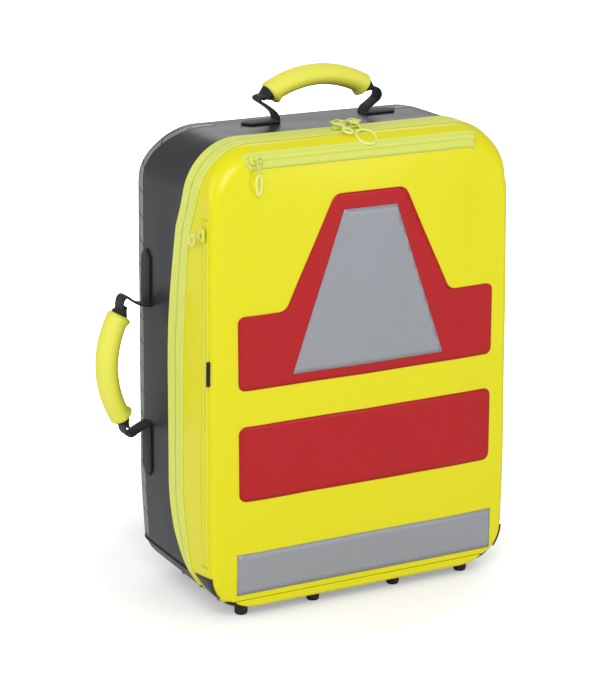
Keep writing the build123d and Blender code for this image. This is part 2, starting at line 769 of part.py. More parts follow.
def build():
    """Every node's solids by name."""
    top_handle, side_handle = top_handle_place(), side_handle_place()
    top_sizes = (HANDLE_LEG, HANDLE_RISE, GRIP_HALF, GRIP_SAG)
    side_sizes = (SIDE_HANDLE_LEG, SIDE_HANDLE_RISE, GRIP_HALF, GRIP_SAG)
    lower_bar = box_face(FIELD_HALF_WIDTH, BAR_LOW, BAR_HIGH)
    band = box_face(FIELD_HALF_WIDTH, BAND_LOW, BAND_HIGH)
    nodes = {
        "main_shell": main_shell(),
        "bottom_guard": bottom_guard(),
        "feet": feet(),
        "back_board": back_board(),
        "divider_shelf_lower": shelf(SHELF_LOW_Z),
        "divider_shelf_upper": shelf(SHELF_HIGH_Z),
        "divider_upright": upright(),
        "main_zip_shell_half": main_zip_half(1),
        "lid_shell": lid_shell(),
        "lid_inner_panel": lid_inner_panel(),
        "lid_pockets": lid_pockets(),
        "main_zip_lid_half": main_zip_half(-1),
        "zip_end_patches": zip_end_patches(),
        "side_pocket_zip": side_zip(),
        "top_pocket_zip": top_zip(),
        "red_upper_field": upper_field(),
        "red_lower_bar": on_front(rounded(lower_bar, FIELD_ROUND), TRIM),
        "reflective_emblem": reflective_emblem(),
        "reflective_band": on_front(band, TRIM),
        "seam_tab": seam_tab(),
        "top_handle_anchors": anchors(top_handle, HANDLE_LEG, PATCH_LONG),
        "top_handle_grip": top_handle * grip(HANDLE_RISE, GRIP_HALF, GRIP_SAG),
        "top_handle_webbing": [top_handle * leg for leg in handle_webbing(*top_sizes)],
        "top_handle_stud": press_stud(),
        "side_handle_anchors": anchors(side_handle, SIDE_HANDLE_LEG, PATCH_SIDE_LONG),
        "side_handle_grip": side_handle * grip(SIDE_HANDLE_RISE, GRIP_HALF, GRIP_SAG),
        "side_handle_webbing": [side_handle * leg for leg in handle_webbing(*side_sizes)],
        "upper_back_pad": back_pad(UPPER_PAD),
        "lumbar_pad": back_pad(LUMBAR_PAD),
        "shoulder_yoke": yoke(),
        "sternum_buckle_body": buckle_body(),
        "sternum_buckle_plug": buckle_plug(),
    }
    for name, seat in seats().items():
        nodes[name + "_slider"] = seat.location * slider_body()
        nodes[name + "_pull"] = pull_place(name).location * pull(*PULLS[name])
    for name, side in (("left", -1), ("right", 1)):
        nodes["reflective_strip_" + name] = reflective_strip(side)
        nodes["shoulder_strap_" + name] = shoulder_strap(side)
        nodes["strap_webbing_" + name] = lower_webbing(side)
        nodes["ladder_lock_" + name] = ladder_lock(side)
        nodes["lower_anchor_" + name] = lower_anchor(side)
        nodes["sternum_keeper_" + name] = keeper(side)
        nodes["sternum_webbing_" + name] = sternum_webbing(side)
    return nodes


def base_middle(nodes):
    """Middle of the whole bag's base, which is where the frame's origin goes."""
    whole = Compound(children=[Compound(children=solids(shape)) for shape in nodes.values()])
    middle = whole.bounding_box().center()
    return Vector(middle.X, middle.Y, 0)


def solids(shape):
    """The separate solids of a node."""
    shapes = shape if isinstance(shape, list) else [shape]
    return [Solid(solid.wrapped) for piece in shapes for solid in piece.solids()]


def write_parts():
    os.makedirs("parts", exist_ok=True)
    nodes = build()
    move = Location(-base_middle(nodes))
    for name, shape in nodes.items():
        pieces = [solid.moved(move) for solid in solids(shape)]
        export_step(pieces[0] if len(pieces) == 1 else Compound(children=pieces), f"parts/{name}.step")


if __name__ == "__main__":
    write_parts()
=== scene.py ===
"""Looks of the trauma backpack: coated tarpaulin, zips, padded grips, webbing, harness and studio."""

import math

import bmesh
import bpy
import numpy as np
from bpy.props import FloatProperty, FloatVectorProperty, PointerProperty
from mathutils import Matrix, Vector


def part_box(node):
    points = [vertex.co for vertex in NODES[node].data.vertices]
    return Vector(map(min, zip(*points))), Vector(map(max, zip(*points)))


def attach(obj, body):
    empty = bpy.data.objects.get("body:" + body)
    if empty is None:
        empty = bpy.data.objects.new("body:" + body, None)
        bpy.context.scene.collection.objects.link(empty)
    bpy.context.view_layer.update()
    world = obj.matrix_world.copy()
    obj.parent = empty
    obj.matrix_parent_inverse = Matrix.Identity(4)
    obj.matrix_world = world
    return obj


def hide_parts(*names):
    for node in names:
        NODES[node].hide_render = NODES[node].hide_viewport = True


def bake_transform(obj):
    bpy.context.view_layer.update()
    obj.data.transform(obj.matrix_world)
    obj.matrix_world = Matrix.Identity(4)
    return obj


bl_info = {
    "name": "Trauma backpack looks",
    "version": (1, 0, 0),
    "blender": (4, 5, 0),
    "location": "View3D > Sidebar > Backpack",
    "description": "Builds the fabrics, zips, grips and harness of a trauma backpack round its fixed frame",
    "category": "Object",
}

MM = 0.001
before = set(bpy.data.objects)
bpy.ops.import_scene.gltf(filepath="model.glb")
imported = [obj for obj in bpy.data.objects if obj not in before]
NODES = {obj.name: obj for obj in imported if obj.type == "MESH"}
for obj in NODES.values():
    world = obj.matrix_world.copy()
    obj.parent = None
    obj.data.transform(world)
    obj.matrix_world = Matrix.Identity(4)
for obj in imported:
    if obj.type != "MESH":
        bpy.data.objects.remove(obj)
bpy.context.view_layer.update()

# Sizes of the bag in millimetres, about the middle of its body
FRONT_Y, BACK_Y = -102.0, 102.0
BOTTOM_Z, TOP_Z = 15.0, 549.0
HALF_BASE, HALF_TOP = 194.0, 188.0
CORNER_BASE, CORNER_TOP = 42.0, 58.0
BACK_ROUND = 24.0
TOP_FRONT_ROUND, SIDE_FRONT_ROUND = 26.0, 7.0
HEM_Z, LIP_Y, SPLIT_Y = 24.0, -97.5, -9.0
ELLIPSE_TOP_Z, LEAN_START_Z, SPLIT_LEAN = 150.0, 270.0, 49.0
SHELL_THICK, LID_THICK, FOLD_THICK, TAPE_THICK = 3.2, 2.6, 1.6, 0.4
BOOT_HIGH, STITCH_ABOVE_BOOT = 47.0, 5.0
SEGMENT_PITCH, SEGMENT_GAP, SEGMENT_LEAN, SEGMENT_WIDE = 30.0, 1.6, 7.0, 11.0
FOLD_HALF_WIDTH = 163
TAPER = (HALF_BASE - HALF_TOP) / (TOP_Z - BOTTOM_Z)

_low, _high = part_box("main_shell")
CENTRE = Vector(((_low.x + _high.x) / 2, _high.y - BACK_Y * MM, 0))


def to_frame(points):
    """Points in the bag's own millimetres, as metres in the frame."""
    return np.asarray(points, float) * MM + np.array(CENTRE)


# Shape of the bag: an outline seen from the front, and roundings to the front and the back


def half_width(z):
    """Half of the bag's width at a height."""
    return HALF_BASE - TAPER * (z - BOTTOM_Z)


def outline_table():
    """Points and outward normals every millimetre or so, from bottom middle up the left side and round."""
    left = []
    low_centre = (-(half_width(BOTTOM_Z + CORNER_BASE) - CORNER_BASE), BOTTOM_Z + CORNER_BASE)
    high_centre = (-(half_width(TOP_Z - CORNER_TOP) - CORNER_TOP), TOP_Z - CORNER_TOP)
    for x in np.linspace(0, low_centre[0], 120, endpoint=False):
        left.append((x, BOTTOM_Z, 0.0, -1.0))
    for a in np.linspace(math.pi * 1.5, math.pi, 60, endpoint=False):
        left.append(
            (
                low_centre[0] + CORNER_BASE * math.cos(a), low_centre[1] + CORNER_BASE * math.sin(a),
                math.cos(a), math.sin(a)
            )
        )
    for z in np.linspace(low_centre[1], high_centre[1], 400, endpoint=False):
        left.append((-half_width(z), z, -1.0, 0.0))
    for a in np.linspace(math.pi, math.pi / 2, 80, endpoint=False):
        left.append(
            (
                high_centre[0] + CORNER_TOP * math.cos(a), high_centre[1] + CORNER_TOP * math.sin(a),
                math.cos(a), math.sin(a)
            )
        )
    for x in np.linspace(high_centre[0], 0, 110):
        left.append((x, TOP_Z, 0.0, 1.0))
    left = np.array(left)
    right = left[::-1][1:].copy()
    right[:, 0] *= -1
    right[:, 2] *= -1
    table = np.vstack([left, right])
    steps = np.hypot(*np.diff(table[:, :2], axis=0).T)
    return np.concatenate([[0], np.cumsum(steps)]), table


ROUND, TABLE = outline_table()
LENGTH = ROUND[-1]


def outline(q):
    """(x, z, nx, nz) at distances q round the outline."""
    return np.stack([np.interp(q, ROUND, TABLE[:, k]) for k in range(4)], -1)


def q_left(z):
    """Distance round the outline of a height on the left side."""
    half = len(ROUND) // 2
    return float(np.interp(z, TABLE[:half, 1], ROUND[:half]))


def q_top(x):
    """Distance round the outline of a place on the top."""
    rows = (TABLE[:, 1] > TOP_Z - CORNER_TOP) & (abs(TABLE[:, 0]) < half_width(TOP_Z))
    return float(np.interp(x, TABLE[rows, 0], ROUND[rows]))


def split_y(z):
    """Depth of the main zip's line at a height."""
    z = np.asarray(z, float)
    rise = TOP_Z - LEAN_START_Z
    radius = (rise**2 + SPLIT_LEAN**2) / (2 * SPLIT_LEAN)
    lean = SPLIT_Y - radius + np.sqrt(radius**2 - np.clip(z - LEAN_START_Z, 0, None) ** 2)
    part = np.clip((z - ELLIPSE_TOP_Z) / (ELLIPSE_TOP_Z - HEM_Z), -1, 0)
    low = LIP_Y + (SPLIT_Y - LIP_Y) * np.sqrt(1 - part**2)
    dip = 8.0 * np.sin(np.pi * np.clip((z - 450) / (TOP_Z - 450), 0, 1))
    return np.where(z > LEAN_START_Z, lean, low) - dip


def smooth(x, a, b):
    """Eased step from 0 at a to 1 at b."""
    t = np.clip((x - a) / (b - a), 0, 1)
    return t * t * (3 - 2 * t)


WAVES = np.random.RandomState(11).uniform(-1, 1, (14, 4))


def ripple(x, y, z):
    """Slow swell of the stiff coated fabric, in millimetres: mostly upright bands, as it hangs."""
    total = np.zeros(np.broadcast(x, y, z).shape)
    for n, (a, b, c, d) in enumerate(WAVES):
        scale = 2 * math.pi / (60 + 16 * n)
        across, up = scale * (1 + 0.3 * a), scale * 0.22 * b
        total = total + np.sin(across * (x + 1.3 * y * np.sign(c)) + up * z + 6 * d) * (0.09 + 0.02 * n)
    return total


def front_round(z):
    """Rounding radius of the front edge at a height."""
    return SIDE_FRONT_ROUND + (TOP_FRONT_ROUND - SIDE_FRONT_ROUND) * smooth(z, 455, 547)


def wall(q, y, lift=0.0):
    """Point on the side, top or bottom wall: distance round the outline, depth, height off the skin."""
    q, y, lift = np.broadcast_arrays(np.asarray(q, float), np.asarray(y, float), np.asarray(lift, float))
    base = outline(q)
    x, z, nx, nz = (base[..., k] for k in range(4))
    r = front_round(z)
    forward = np.clip((FRONT_Y + r - y) / r, 0, 1)
    r_back = BACK_ROUND + 24.0 * smooth(z, 480, 545)
    back = np.clip((y - (BACK_Y - r_back)) / r_back, 0, 1)
    inset = r * (1 - np.sqrt(1 - forward**2)) + r_back * (1 - np.sqrt(1 - back**2))
    out_y = -forward + back
    swell = np.sin(np.pi * np.clip((y - FRONT_Y) / (BACK_Y - FRONT_Y), 0, 1))
    low = smooth(z, BOTTOM_Z, BOTTOM_Z + 30)
    fold = (swell + 0.8 * ripple(x * 0.3 + y * 1.2, z * 0.2, z)) * (1 - forward) * (1 - back)
    belly = np.where(x < 0, 5.0 * smooth(y, -30, 78), 3.2) * np.abs(nx) ** 3 * smooth(z, 20, 150)
    off = lift + low * fold + belly * np.sqrt(1 - forward**2) * np.sqrt(1 - back**2)
    slant = np.sqrt(np.clip(1 - out_y**2, 0, 1))
    return np.stack([x + nx * (off * slant - inset), y + off * out_y, z + nz * (off * slant - inset)], -1)


def front(x, z, lift=0.0):
    """Point on the front panel, which crowns a little."""
    x, z, lift = np.broadcast_arrays(np.asarray(x, float), np.asarray(z, float), np.asarray(lift, float))
    edge = np.minimum(half_width(z) - np.abs(x), np.minimum(TOP_Z - z, z - HEM_Z))
    hold = smooth(edge, 6, 70)
    crown = 3.2 * hold + 1.1 * ripple(x, z * 0.15, z) * smooth(edge, 4, 45)
    return np.stack([x, FRONT_Y - crown - lift, z], -1)


# Meshes


def mesh_object(name, points, faces):
    """A mesh piece from points in the bag's millimetres, with its normals turned outwards."""
    data = bpy.data.meshes.new(name)
    data.from_pydata([tuple(p) for p in to_frame(points)], [], [tuple(int(i) for i in f) for f in faces])
    data.update()
    piece = bpy.data.objects.new(name, data)
    bpy.context.scene.collection.objects.link(piece)
    shade(piece)
    return piece


def shade(piece):
    """Smooth shading."""
    piece.data.polygons.foreach_set("use_smooth", [True] * len(piece.data.polygons))
    piece.data.update()


def clean(piece, merge=0.02):
    """Merges doubles and turns every face outwards."""
    mesh = bmesh.new()
    mesh.from_mesh(piece.data)
    bmesh.ops.remove_doubles(mesh, verts=mesh.verts, dist=merge * MM)
    bmesh.ops.recalc_face_normals(mesh, faces=mesh.faces)
    mesh.to_mesh(piece.data)
    mesh.free()
    piece.data.update()
    return piece


def grid_faces(rows, columns, wrap=False):
    """Quads of a grid of rows by columns; wrap joins the last column to the first."""
    faces = []
    for r in range(rows - 1):
        for c in range(columns if wrap else columns - 1):
            d = (c + 1) % columns
            faces.append((r * columns + c, r * columns + d, (r + 1) * columns + d, (r + 1) * columns + c))
    return faces


def grid_object(name, grid, wrap=False):
    """A piece from an array of rows by columns by 3 points."""
    rows, columns = grid.shape[:2]
    return mesh_object(name, grid.reshape(-1, 3), grid_faces(rows, columns, wrap))


def apply_modifiers(piece):
    """Bakes a piece's modifiers into its mesh."""
    graph = bpy.context.evaluated_depsgraph_get()
    made = bpy.data.meshes.new_from_object(piece.evaluated_get(graph))
    piece.modifiers.clear()
    piece.data = made
    return piece


def thicken(piece, thick, offset=-1.0, rim=True):
    """Gives a skin its wall; offset -1 puts the wall inside."""
    wall_of = piece.modifiers.new("Wall", "SOLIDIFY")
    wall_of.thickness, wall_of.offset, wall_of.use_rim = thick * MM, offset, rim
    return apply_modifiers(piece)


def soften(piece, levels=1):
    """Rounds a piece by subdividing it."""
    sub = piece.modifiers.new("Soft", "SUBSURF")
    sub.levels = sub.render_levels = levels
    return apply_modifiers(piece)


def bevelled(piece, width, segments=2, angle=35.0):
    """Cuts the sharp edges of a piece and rounds them."""
    edge = piece.modifiers.new("Edge", "BEVEL")
    edge.width, edge.segments, edge.angle_limit = width * MM, segments, math.radians(angle)
    return apply_modifiers(piece)


def join(name, pieces):
    """Several pieces as one mesh."""
    mesh = bmesh.new()
    materials = []
    for piece in pieces:
        start = len(mesh.faces)
        mesh.from_mesh(piece.data)
        mesh.faces.ensure_lookup_table()
        for m in piece.data.materials:
            if m not in materials:
                materials.append(m)
        own = [materials.index(m) for m in piece.data.materials] or [0]
        for face in mesh.faces[start:]:
            face.material_index = own[min(face.material_index, len(own) - 1)]
    data = bpy.data.meshes.new(name)
    mesh.to_mesh(data)
    mesh.free()
    for m in materials:
        data.materials.append(m)
    for piece in pieces:
        bpy.data.objects.remove(piece)
    made = bpy.data.objects.new(name, data)
    bpy.context.scene.collection.objects.link(made)
    return made


def ribbon(name, centre, across, up, width, thick, crown=0.0, sections=None):
    """Flat or crowned strip along a line: centre points, width directions and outward directions."""
    centre, across, up = (np.asarray(a, float) for a in (centre, across, up))
    if sections is None:
        half = width / 2
        shoulder, top = 0.5 + 0.35 * crown, 0.5 + 0.5 * crown
        sections = [
            (-half, 0.0), (-half * 0.94, 0.5), (-half * 0.5, shoulder), (0.0, top), (half * 0.5, shoulder),
            (half * 0.94, 0.5), (half, 0.0), (half * 0.94, -0.5), (0.0, -0.5 - 0.2 * crown),
            (-half * 0.94, -0.5),
        ]
    rows = [centre + across * side + up * (thick * high) for side, high in sections]
    grid = np.stack(rows, 1)
    piece = grid_object(name, grid, wrap=True)
    n = len(sections)
    last = (len(centre) - 1) * n
    mesh = bmesh.new()
    mesh.from_mesh(piece.data)
    mesh.verts.ensure_lookup_table()
    mesh.faces.new([mesh.verts[i] for i in range(n)])
    mesh.faces.new([mesh.verts[last + i] for i in range(n)][::-1])
    bmesh.ops.recalc_face_normals(mesh, faces=mesh.faces)
    mesh.to_mesh(piece.data)
    mesh.free()
    shade(piece)
    return piece


def curve_points(points, count):
    """Points evenly along a smooth line through the given ones (Catmull-Rom)."""
    p = np.asarray(points, float)
    p = np.vstack([2 * p[0] - p[1], p, 2 * p[-1] - p[-2]])
    dense = []
    for i in range(1, len(p) - 2):
        t = np.linspace(0, 1, 24, endpoint=False)[:, None]
        a, b, c, d = p[i - 1 : i + 3]
        dense.append(
            0.5 * (2 * b + (c - a) * t + (2 * a - 5 * b + 4 * c - d) * t**2 + (3 * b - a - 3 * c + d) * t**3)
        )
    dense = np.vstack(dense + [p[-2][None]])
    way = np.concatenate([[0], np.cumsum(np.linalg.norm(np.diff(dense, axis=0), axis=1))])
    at = np.linspace(0, way[-1], count)
    return np.stack([np.interp(at, way, dense[:, k]) for k in range(3)], -1)


def directions(line, side):
    """Unit width and outward directions of a strip that follows a line, from its rough width direction."""
    run = np.gradient(line, axis=0)
    run /= np.linalg.norm(run, axis=1)[:, None]
    side = np.broadcast_to(np.asarray(side, float), run.shape)
    side = side - run * (side * run).sum(1)[:, None]
    side /= np.linalg.norm(side, axis=1)[:, None]
    return side, np.cross(side, run)


def tube(name, points, radius, sides=10, count=40, closed=False):
    """Round cord or piping through points; radius is one value or one for each of the points made."""
    line = curve_points(points, count)
    if closed:
        line = line[:-1]
    run = np.gradient(line, axis=0)
    run /= np.linalg.norm(run, axis=1)[:, None]
    ref = np.array([0.31, 0.17, 0.93])
    a = np.cross(run, ref)
    a /= np.linalg.norm(a, axis=1)[:, None]
    b = np.cross(run, a)
    turn = np.linspace(0, 2 * math.pi, sides, endpoint=False)
    r = np.broadcast_to(np.asarray(radius, float), (len(line),))[:, None, None]
    grid = line[:, None] + r * (
        np.cos(turn)[None, :, None] * a[:, None] + np.sin(turn)[None, :, None] * b[:, None]
    )
    flat = grid.reshape(-1, 3)
    faces = grid_faces(len(line), sides, wrap=True)
    if closed:
        last = (len(line) - 1) * sides
        faces += [(last + c, last + (c + 1) % sides, (c + 1) % sides, c) for c in range(sides)]
    else:
        faces += [tuple(range(sides))[::-1], tuple(range(len(flat) - sides, len(flat)))]
    return clean(mesh_object(name, flat, faces), merge=0.001)


def lathe(profile, sides=24):
    """Solid turned about Z from (radius, height) points, closed at both ends."""
    turn = np.linspace(0, 2 * math.pi, sides, endpoint=False)
    grid = np.array([[(r * math.cos(a), r * math.sin(a), h) for a in turn] for r, h in profile])
    faces = grid_faces(len(profile), sides, wrap=True)
    total = len(profile) * sides
    faces += [tuple(range(sides))[::-1], tuple(range(total - sides, total))]
    return grid.reshape(-1, 3), faces


# Materials


def linear(code):
    """An sRGB hex colour as linear RGBA."""
    values = [int(code[i : i + 2], 16) / 255 for i in (1, 3, 5)]
    return (*[v / 12.92 if v <= 0.04045 else ((v + 0.055) / 1.055) ** 2.4 for v in values], 1.0)


def node(tree, kind, settings=None, links=None):
    """Adds a node, sets its values and sockets, and joins its inputs: {socket: (other node, output)}."""
    made = tree.nodes.new(kind)
    for key, value in (settings or {}).items():
        if isinstance(key, int) or key in made.inputs:
            made.inputs[key].default_value = value
        else:
            setattr(made, key, value)
    for socket, (other, output) in (links or {}).items():
        tree.links.new(other.outputs[output], made.inputs[socket])
    return made


def surface(name, settings):
    """A new material with a Principled surface; returns it, its tree, its shader and Object coordinates."""
    made = bpy.data.materials.new(name)
    made.use_nodes = True
    tree = made.node_tree
    shader = tree.nodes["Principled BSDF"]
    for key, value in settings.items():
        shader.inputs[key].default_value = value
    place = tree.nodes.new("ShaderNodeTexCoord")
    return made, tree, shader, place


def tint(tree, shader, factor, dark, light):
    """Base colour between two colours by a factor (node, output)."""
    ramp = node(tree, "ShaderNodeMix", {"data_type": "RGBA"})
    ramp.inputs[6].default_value = linear(dark)
    ramp.inputs[7].default_value = linear(light)
    tree.links.new(factor[0].outputs[factor[1]], ramp.inputs[0])
    tree.links.new(ramp.outputs[2], shader.inputs["Base Color"])


def bump(tree, shader, height, strength, distance):
    """Adds a fine height to a surface."""
    made = node(tree, "ShaderNodeBump", {"Strength": strength, "Distance": distance}, {"Height": height})
    tree.links.new(made.outputs["Normal"], shader.inputs["Normal"])
    return made


def tarpaulin(name, dark, light, roughness, coat):
    """PVC-coated polyester tarpaulin, calendered smooth: broad soft gloss, faint ghost of the weave."""
    made, tree, shader, place = surface(
        name, {
            "Roughness": roughness, "Specular IOR Level": 0.35, "Coat Weight": coat, "Coat Roughness": 0.16
        }
    )
    cloud = node(tree, "ShaderNodeTexNoise", {"Scale": 9.0, "Detail": 3.0}, {"Vector": (place, "Object")})
    tint(tree, shader, (cloud, "Fac"), dark, light)
    # Threads of 0.9 mm, drawn at 1.8 mm so that they show
    weave = node(
        tree, "ShaderNodeTexNoise", {"Scale": 1000 / 1.8, "Detail": 1.0}, {"Vector": (place, "Object")}
    )
    broad = node(tree, "ShaderNodeTexNoise", {"Scale": 30.0, "Detail": 2.0}, {"Vector": (place, "Object")})
    fine = bump(tree, shader, (weave, "Fac"), 0.06, 0.0004)
    slow = node(tree, "ShaderNodeBump", {"Strength": 0.12, "Distance": 0.002}, {"Height": (broad, "Fac")})
    tree.links.new(slow.outputs["Normal"], fine.inputs["Normal"])
    return made


def woven(name, dark, light, thread, roughness, sheen=0.15):
    """Woven polyamide or polyester: small square weave, dull with a little sheen. Thread in mm."""
    made, tree, shader, place = surface(
        name, {"Roughness": roughness, "Sheen Weight": sheen, "Sheen Roughness": 0.4}
    )
    waves = []
    for turn in ("X", "Y", "Z"):
        waves.append(
            node(
                tree, "ShaderNodeTexWave",
                {"bands_direction": turn, "Scale": 1000 / thread / (2 * math.pi) * 0.5, "Distortion": 0.4},
                {"Vector": (place, "Object")},
            )
        )
    one = node(
        tree, "ShaderNodeMath", {"operation": "MULTIPLY"}, {0: (waves[0], "Fac"), 1: (waves[2], "Fac")}
    )
    two = node(tree, "ShaderNodeMath", {"operation": "ADD"}, {0: (one, 0), 1: (waves[1], "Fac")})
    half = node(tree, "ShaderNodeMath", {"operation": "MULTIPLY", 1: 0.5}, {0: (two, 0)})
    tint(tree, shader, (half, 0), dark, light)
    bump(tree, shader, (half, 0), 0.5, thread * 0.3 * MM)
    return made


def moulded(name, colour, roughness, metallic=0.0, grain=0.6, coat=0.0):
    """Injection-moulded plastic, rubber or painted casting with a fine grain in mm."""
    made, tree, shader, place = surface(
        name, {
            "Roughness": roughness, "Metallic": metallic, "Coat Weight": coat, "Base Color": linear(colour)
        }
    )
    speckle = node(
        tree, "ShaderNodeTexNoise", {"Scale": 1000 / grain, "Detail": 2.0}, {"Vector": (place, "Object")}
    )
    bump(tree, shader, (speckle, "Fac"), 0.15, 0.0003)
    uneven = node(
        tree, "ShaderNodeMapRange", {"To Min": roughness - 0.05, "To Max": roughness + 0.08},
        {"Value": (speckle, "Fac")}
    )
    tree.links.new(uneven.outputs["Result"], shader.inputs["Roughness"])
    return made


def retroreflective(name, dark, light):
    """Retroreflective tape: glass beads in resin, a dull silver with a fine sparkle."""
    made, tree, shader, place = surface(name, {"Roughness": 0.42, "Metallic": 0.25, "IOR": 1.5})
    beads = node(
        tree, "ShaderNodeTexNoise", {"Scale": 1000 / 1.2, "Detail": 2.0}, {"Vector": (place, "Object")}
    )
    tint(tree, shader, (beads, "Fac"), dark, light)
    bump(tree, shader, (beads, "Fac"), 0.12, 0.0003)
    return made


def foil(name, dark, light):
    """Heat-sealed vinyl foil: even colour, soft gloss, slow unevenness from the fabric under it."""
    made, tree, shader, place = surface(
        name, {"Roughness": 0.38, "Specular IOR Level": 0.3, "Coat Weight": 0.08, "Coat Roughness": 0.2}
    )
    cloud = node(tree, "ShaderNodeTexNoise", {"Scale": 12.0, "Detail": 2.0}, {"Vector": (place, "Object")})
    tint(tree, shader, (cloud, "Fac"), dark, light)
    weave = node(
        tree, "ShaderNodeTexNoise", {"Scale": 1000 / 2.0, "Detail": 1.0}, {"Vector": (place, "Object")}
    )
    bump(tree, shader, (weave, "Fac"), 0.08, 0.0004)
    return made


def spacer_mesh(name, dark, light):
    """Air mesh over foam: open knitted cells about 3 mm across."""
    made, tree, shader, place = surface(
        name, {"Roughness": 0.85, "Sheen Weight": 0.25, "Sheen Roughness": 0.5}
    )
    cells = node(tree, "ShaderNodeTexVoronoi", {"Scale": 1000 / 3.2}, {"Vector": (place, "Object")})
    spread = node(
        tree, "ShaderNodeMapRange", {"From Min": 0.1, "From Max": 0.6}, {"Value": (cells, "Distance")}
    )
    tint(tree, shader, (spread, "Result"), dark, light)
    bump(tree, shader, (spread, "Result"), 0.6, 0.0008)
    return made


MAT = {}


def make_materials(look):
    """Every fabric, foil, cord, plastic and metal of the bag."""
    def code(rgb):
        return "#" + "".join(f"{round(max(0.0, min(1.0, c)) * 255):02X}" for c in rgb)

    MAT["lid"] = tarpaulin(
        "fluorescent coated tarpaulin", code([c * 0.985 for c in look.lid_colour]), code(look.lid_colour),
        0.34, 0.15
    )
    MAT["shell"] = tarpaulin("black coated tarpaulin", "#28292C", "#313236", 0.42, 0.15)
    MAT["tape"] = woven("woven zip tape", "#D3DB5E", "#DFE772", 1.1, 0.6)
    MAT["teeth"] = moulded("zip coil nylon", "#D3DC5E", 0.4)
    MAT["slider"] = moulded("painted zinc casting", "#DDE45A", 0.3, coat=0.4)
    MAT["cord"] = woven("braided pull cord", "#CDD55A", "#EEF08E", 0.9, 0.6)
    MAT["loop"] = moulded("soft moulded pull loop", "#EAEC8A", 0.45)
    MAT["grip"] = moulded("closed-cell foam sleeve", "#E9E752", 0.55, grain=1.2)
    MAT["webbing"] = woven("black polyamide webbing", "#0A0A0D", "#1E1E23", 1.6, 0.7)
    MAT["plastic"] = moulded("moulded black acetal", "#161618", 0.35)
    MAT["rubber"] = moulded("moulded black rubber", "#1D1D1E", 0.6)
    MAT["red"] = foil("red vinyl foil", code([c * 0.96 for c in look.field_colour]), code(look.field_colour))
    MAT["silver"] = retroreflective("reflective tape", "#8F9298", "#A6A9B0")
    # Darker copy of the reflective tape for the side-wall segments, as painted shade.
    MAT["silver_painted_shade"] = retroreflective("reflective tape, painted shade", "#7F8082", "#939496")
    MAT["mesh"] = spacer_mesh("spacer mesh", "#0B0B0D", "#26272B")
    MAT["lining"] = woven("brushed loop lining", "#2B2C30", "#3C3E43", 1.2, 0.9, 0.4)
    MAT["board"] = moulded("polyethylene board", "#2C2E31", 0.5)
    MAT["binding"] = woven("black edge binding", "#08090A", "#17181A", 1.2, 0.75)
    MAT["thread_light"] = moulded("bonded thread", "#D9E04E", 0.5)
    MAT["thread_dark"] = moulded("black bonded thread", "#2A2A2E", 0.5)
    MAT["nickel"] = moulded("nickel-plated brass", "#D4D5D6", 0.22, metallic=1.0)


def paint(piece, key):
    """Gives a piece one material."""
    piece.data.materials.clear()
    piece.data.materials.append(MAT[key])
    return piece


def finish(piece, body, key, slot, *stands_for):
    """Paints a piece, rides it on its body, and names the CAD nodes that it stands for."""
    if key:
        paint(piece, key)
    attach(piece, body)
    if stands_for:
        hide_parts(*stands_for)
    return piece


# Repeats along lines, by Geometry Nodes


def repeat_tree():
    """Boxes with rounded corners, one each spacing along lines, lying on the surface by an up attribute."""
    tree = bpy.data.node_groups.new("Repeat along a line", "GeometryNodeTree")
    face = tree.interface
    face.new_socket("Geometry", in_out="INPUT", socket_type="NodeSocketGeometry")
    for label in ("Spacing", "Long", "Wide", "High"):
        face.new_socket(label, in_out="INPUT", socket_type="NodeSocketFloat")
    face.new_socket("Material", in_out="INPUT", socket_type="NodeSocketMaterial")
    face.new_socket("Geometry", in_out="OUTPUT", socket_type="NodeSocketGeometry")
    given, out = node(tree, "NodeGroupInput"), node(tree, "NodeGroupOutput")
    line = node(tree, "GeometryNodeMeshToCurve", links={"Mesh": (given, "Geometry")})
    even = node(
        tree, "GeometryNodeResampleCurve", {"mode": "LENGTH"},
        {"Curve": (line, "Curve"), "Length": (given, "Spacing")}
    )
    size = node(
        tree, "ShaderNodeCombineXYZ",
        links={"X": (given, "Long"), "Y": (given, "Wide"), "Z": (given, "High")}
    )
    ball = node(tree, "GeometryNodeMeshUVSphere", {"Segments": 8, "Rings": 5, "Radius": 0.5})
    along = node(tree, "GeometryNodeInputTangent")
    up = node(tree, "GeometryNodeInputNamedAttribute", {"data_type": "FLOAT_VECTOR"})
    up.inputs["Name"].default_value = "up"
    first = node(tree, "FunctionNodeAlignRotationToVector", {"axis": "X"}, {"Vector": (along, "Tangent")})
    turned = node(
        tree, "FunctionNodeAlignRotationToVector", {"axis": "Z", "pivot_axis": "X"},
        {"Rotation": (first, "Rotation"), "Vector": (up, "Attribute")}
    )
    placed = node(
        tree, "GeometryNodeInstanceOnPoints",
        links={
            "Points": (even, "Curve"), "Instance": (ball, "Mesh"), "Rotation": (turned, "Rotation"),
            "Scale": (size, "Vector")
        },
    )
    real = node(tree, "GeometryNodeRealizeInstances", links={"Geometry": (placed, "Instances")})
    painted = node(
        tree, "GeometryNodeSetMaterial",
        links={"Geometry": (real, "Geometry"), "Material": (given, "Material")}
    )
    tree.links.new(painted.outputs[0], out.inputs[0])
    return tree


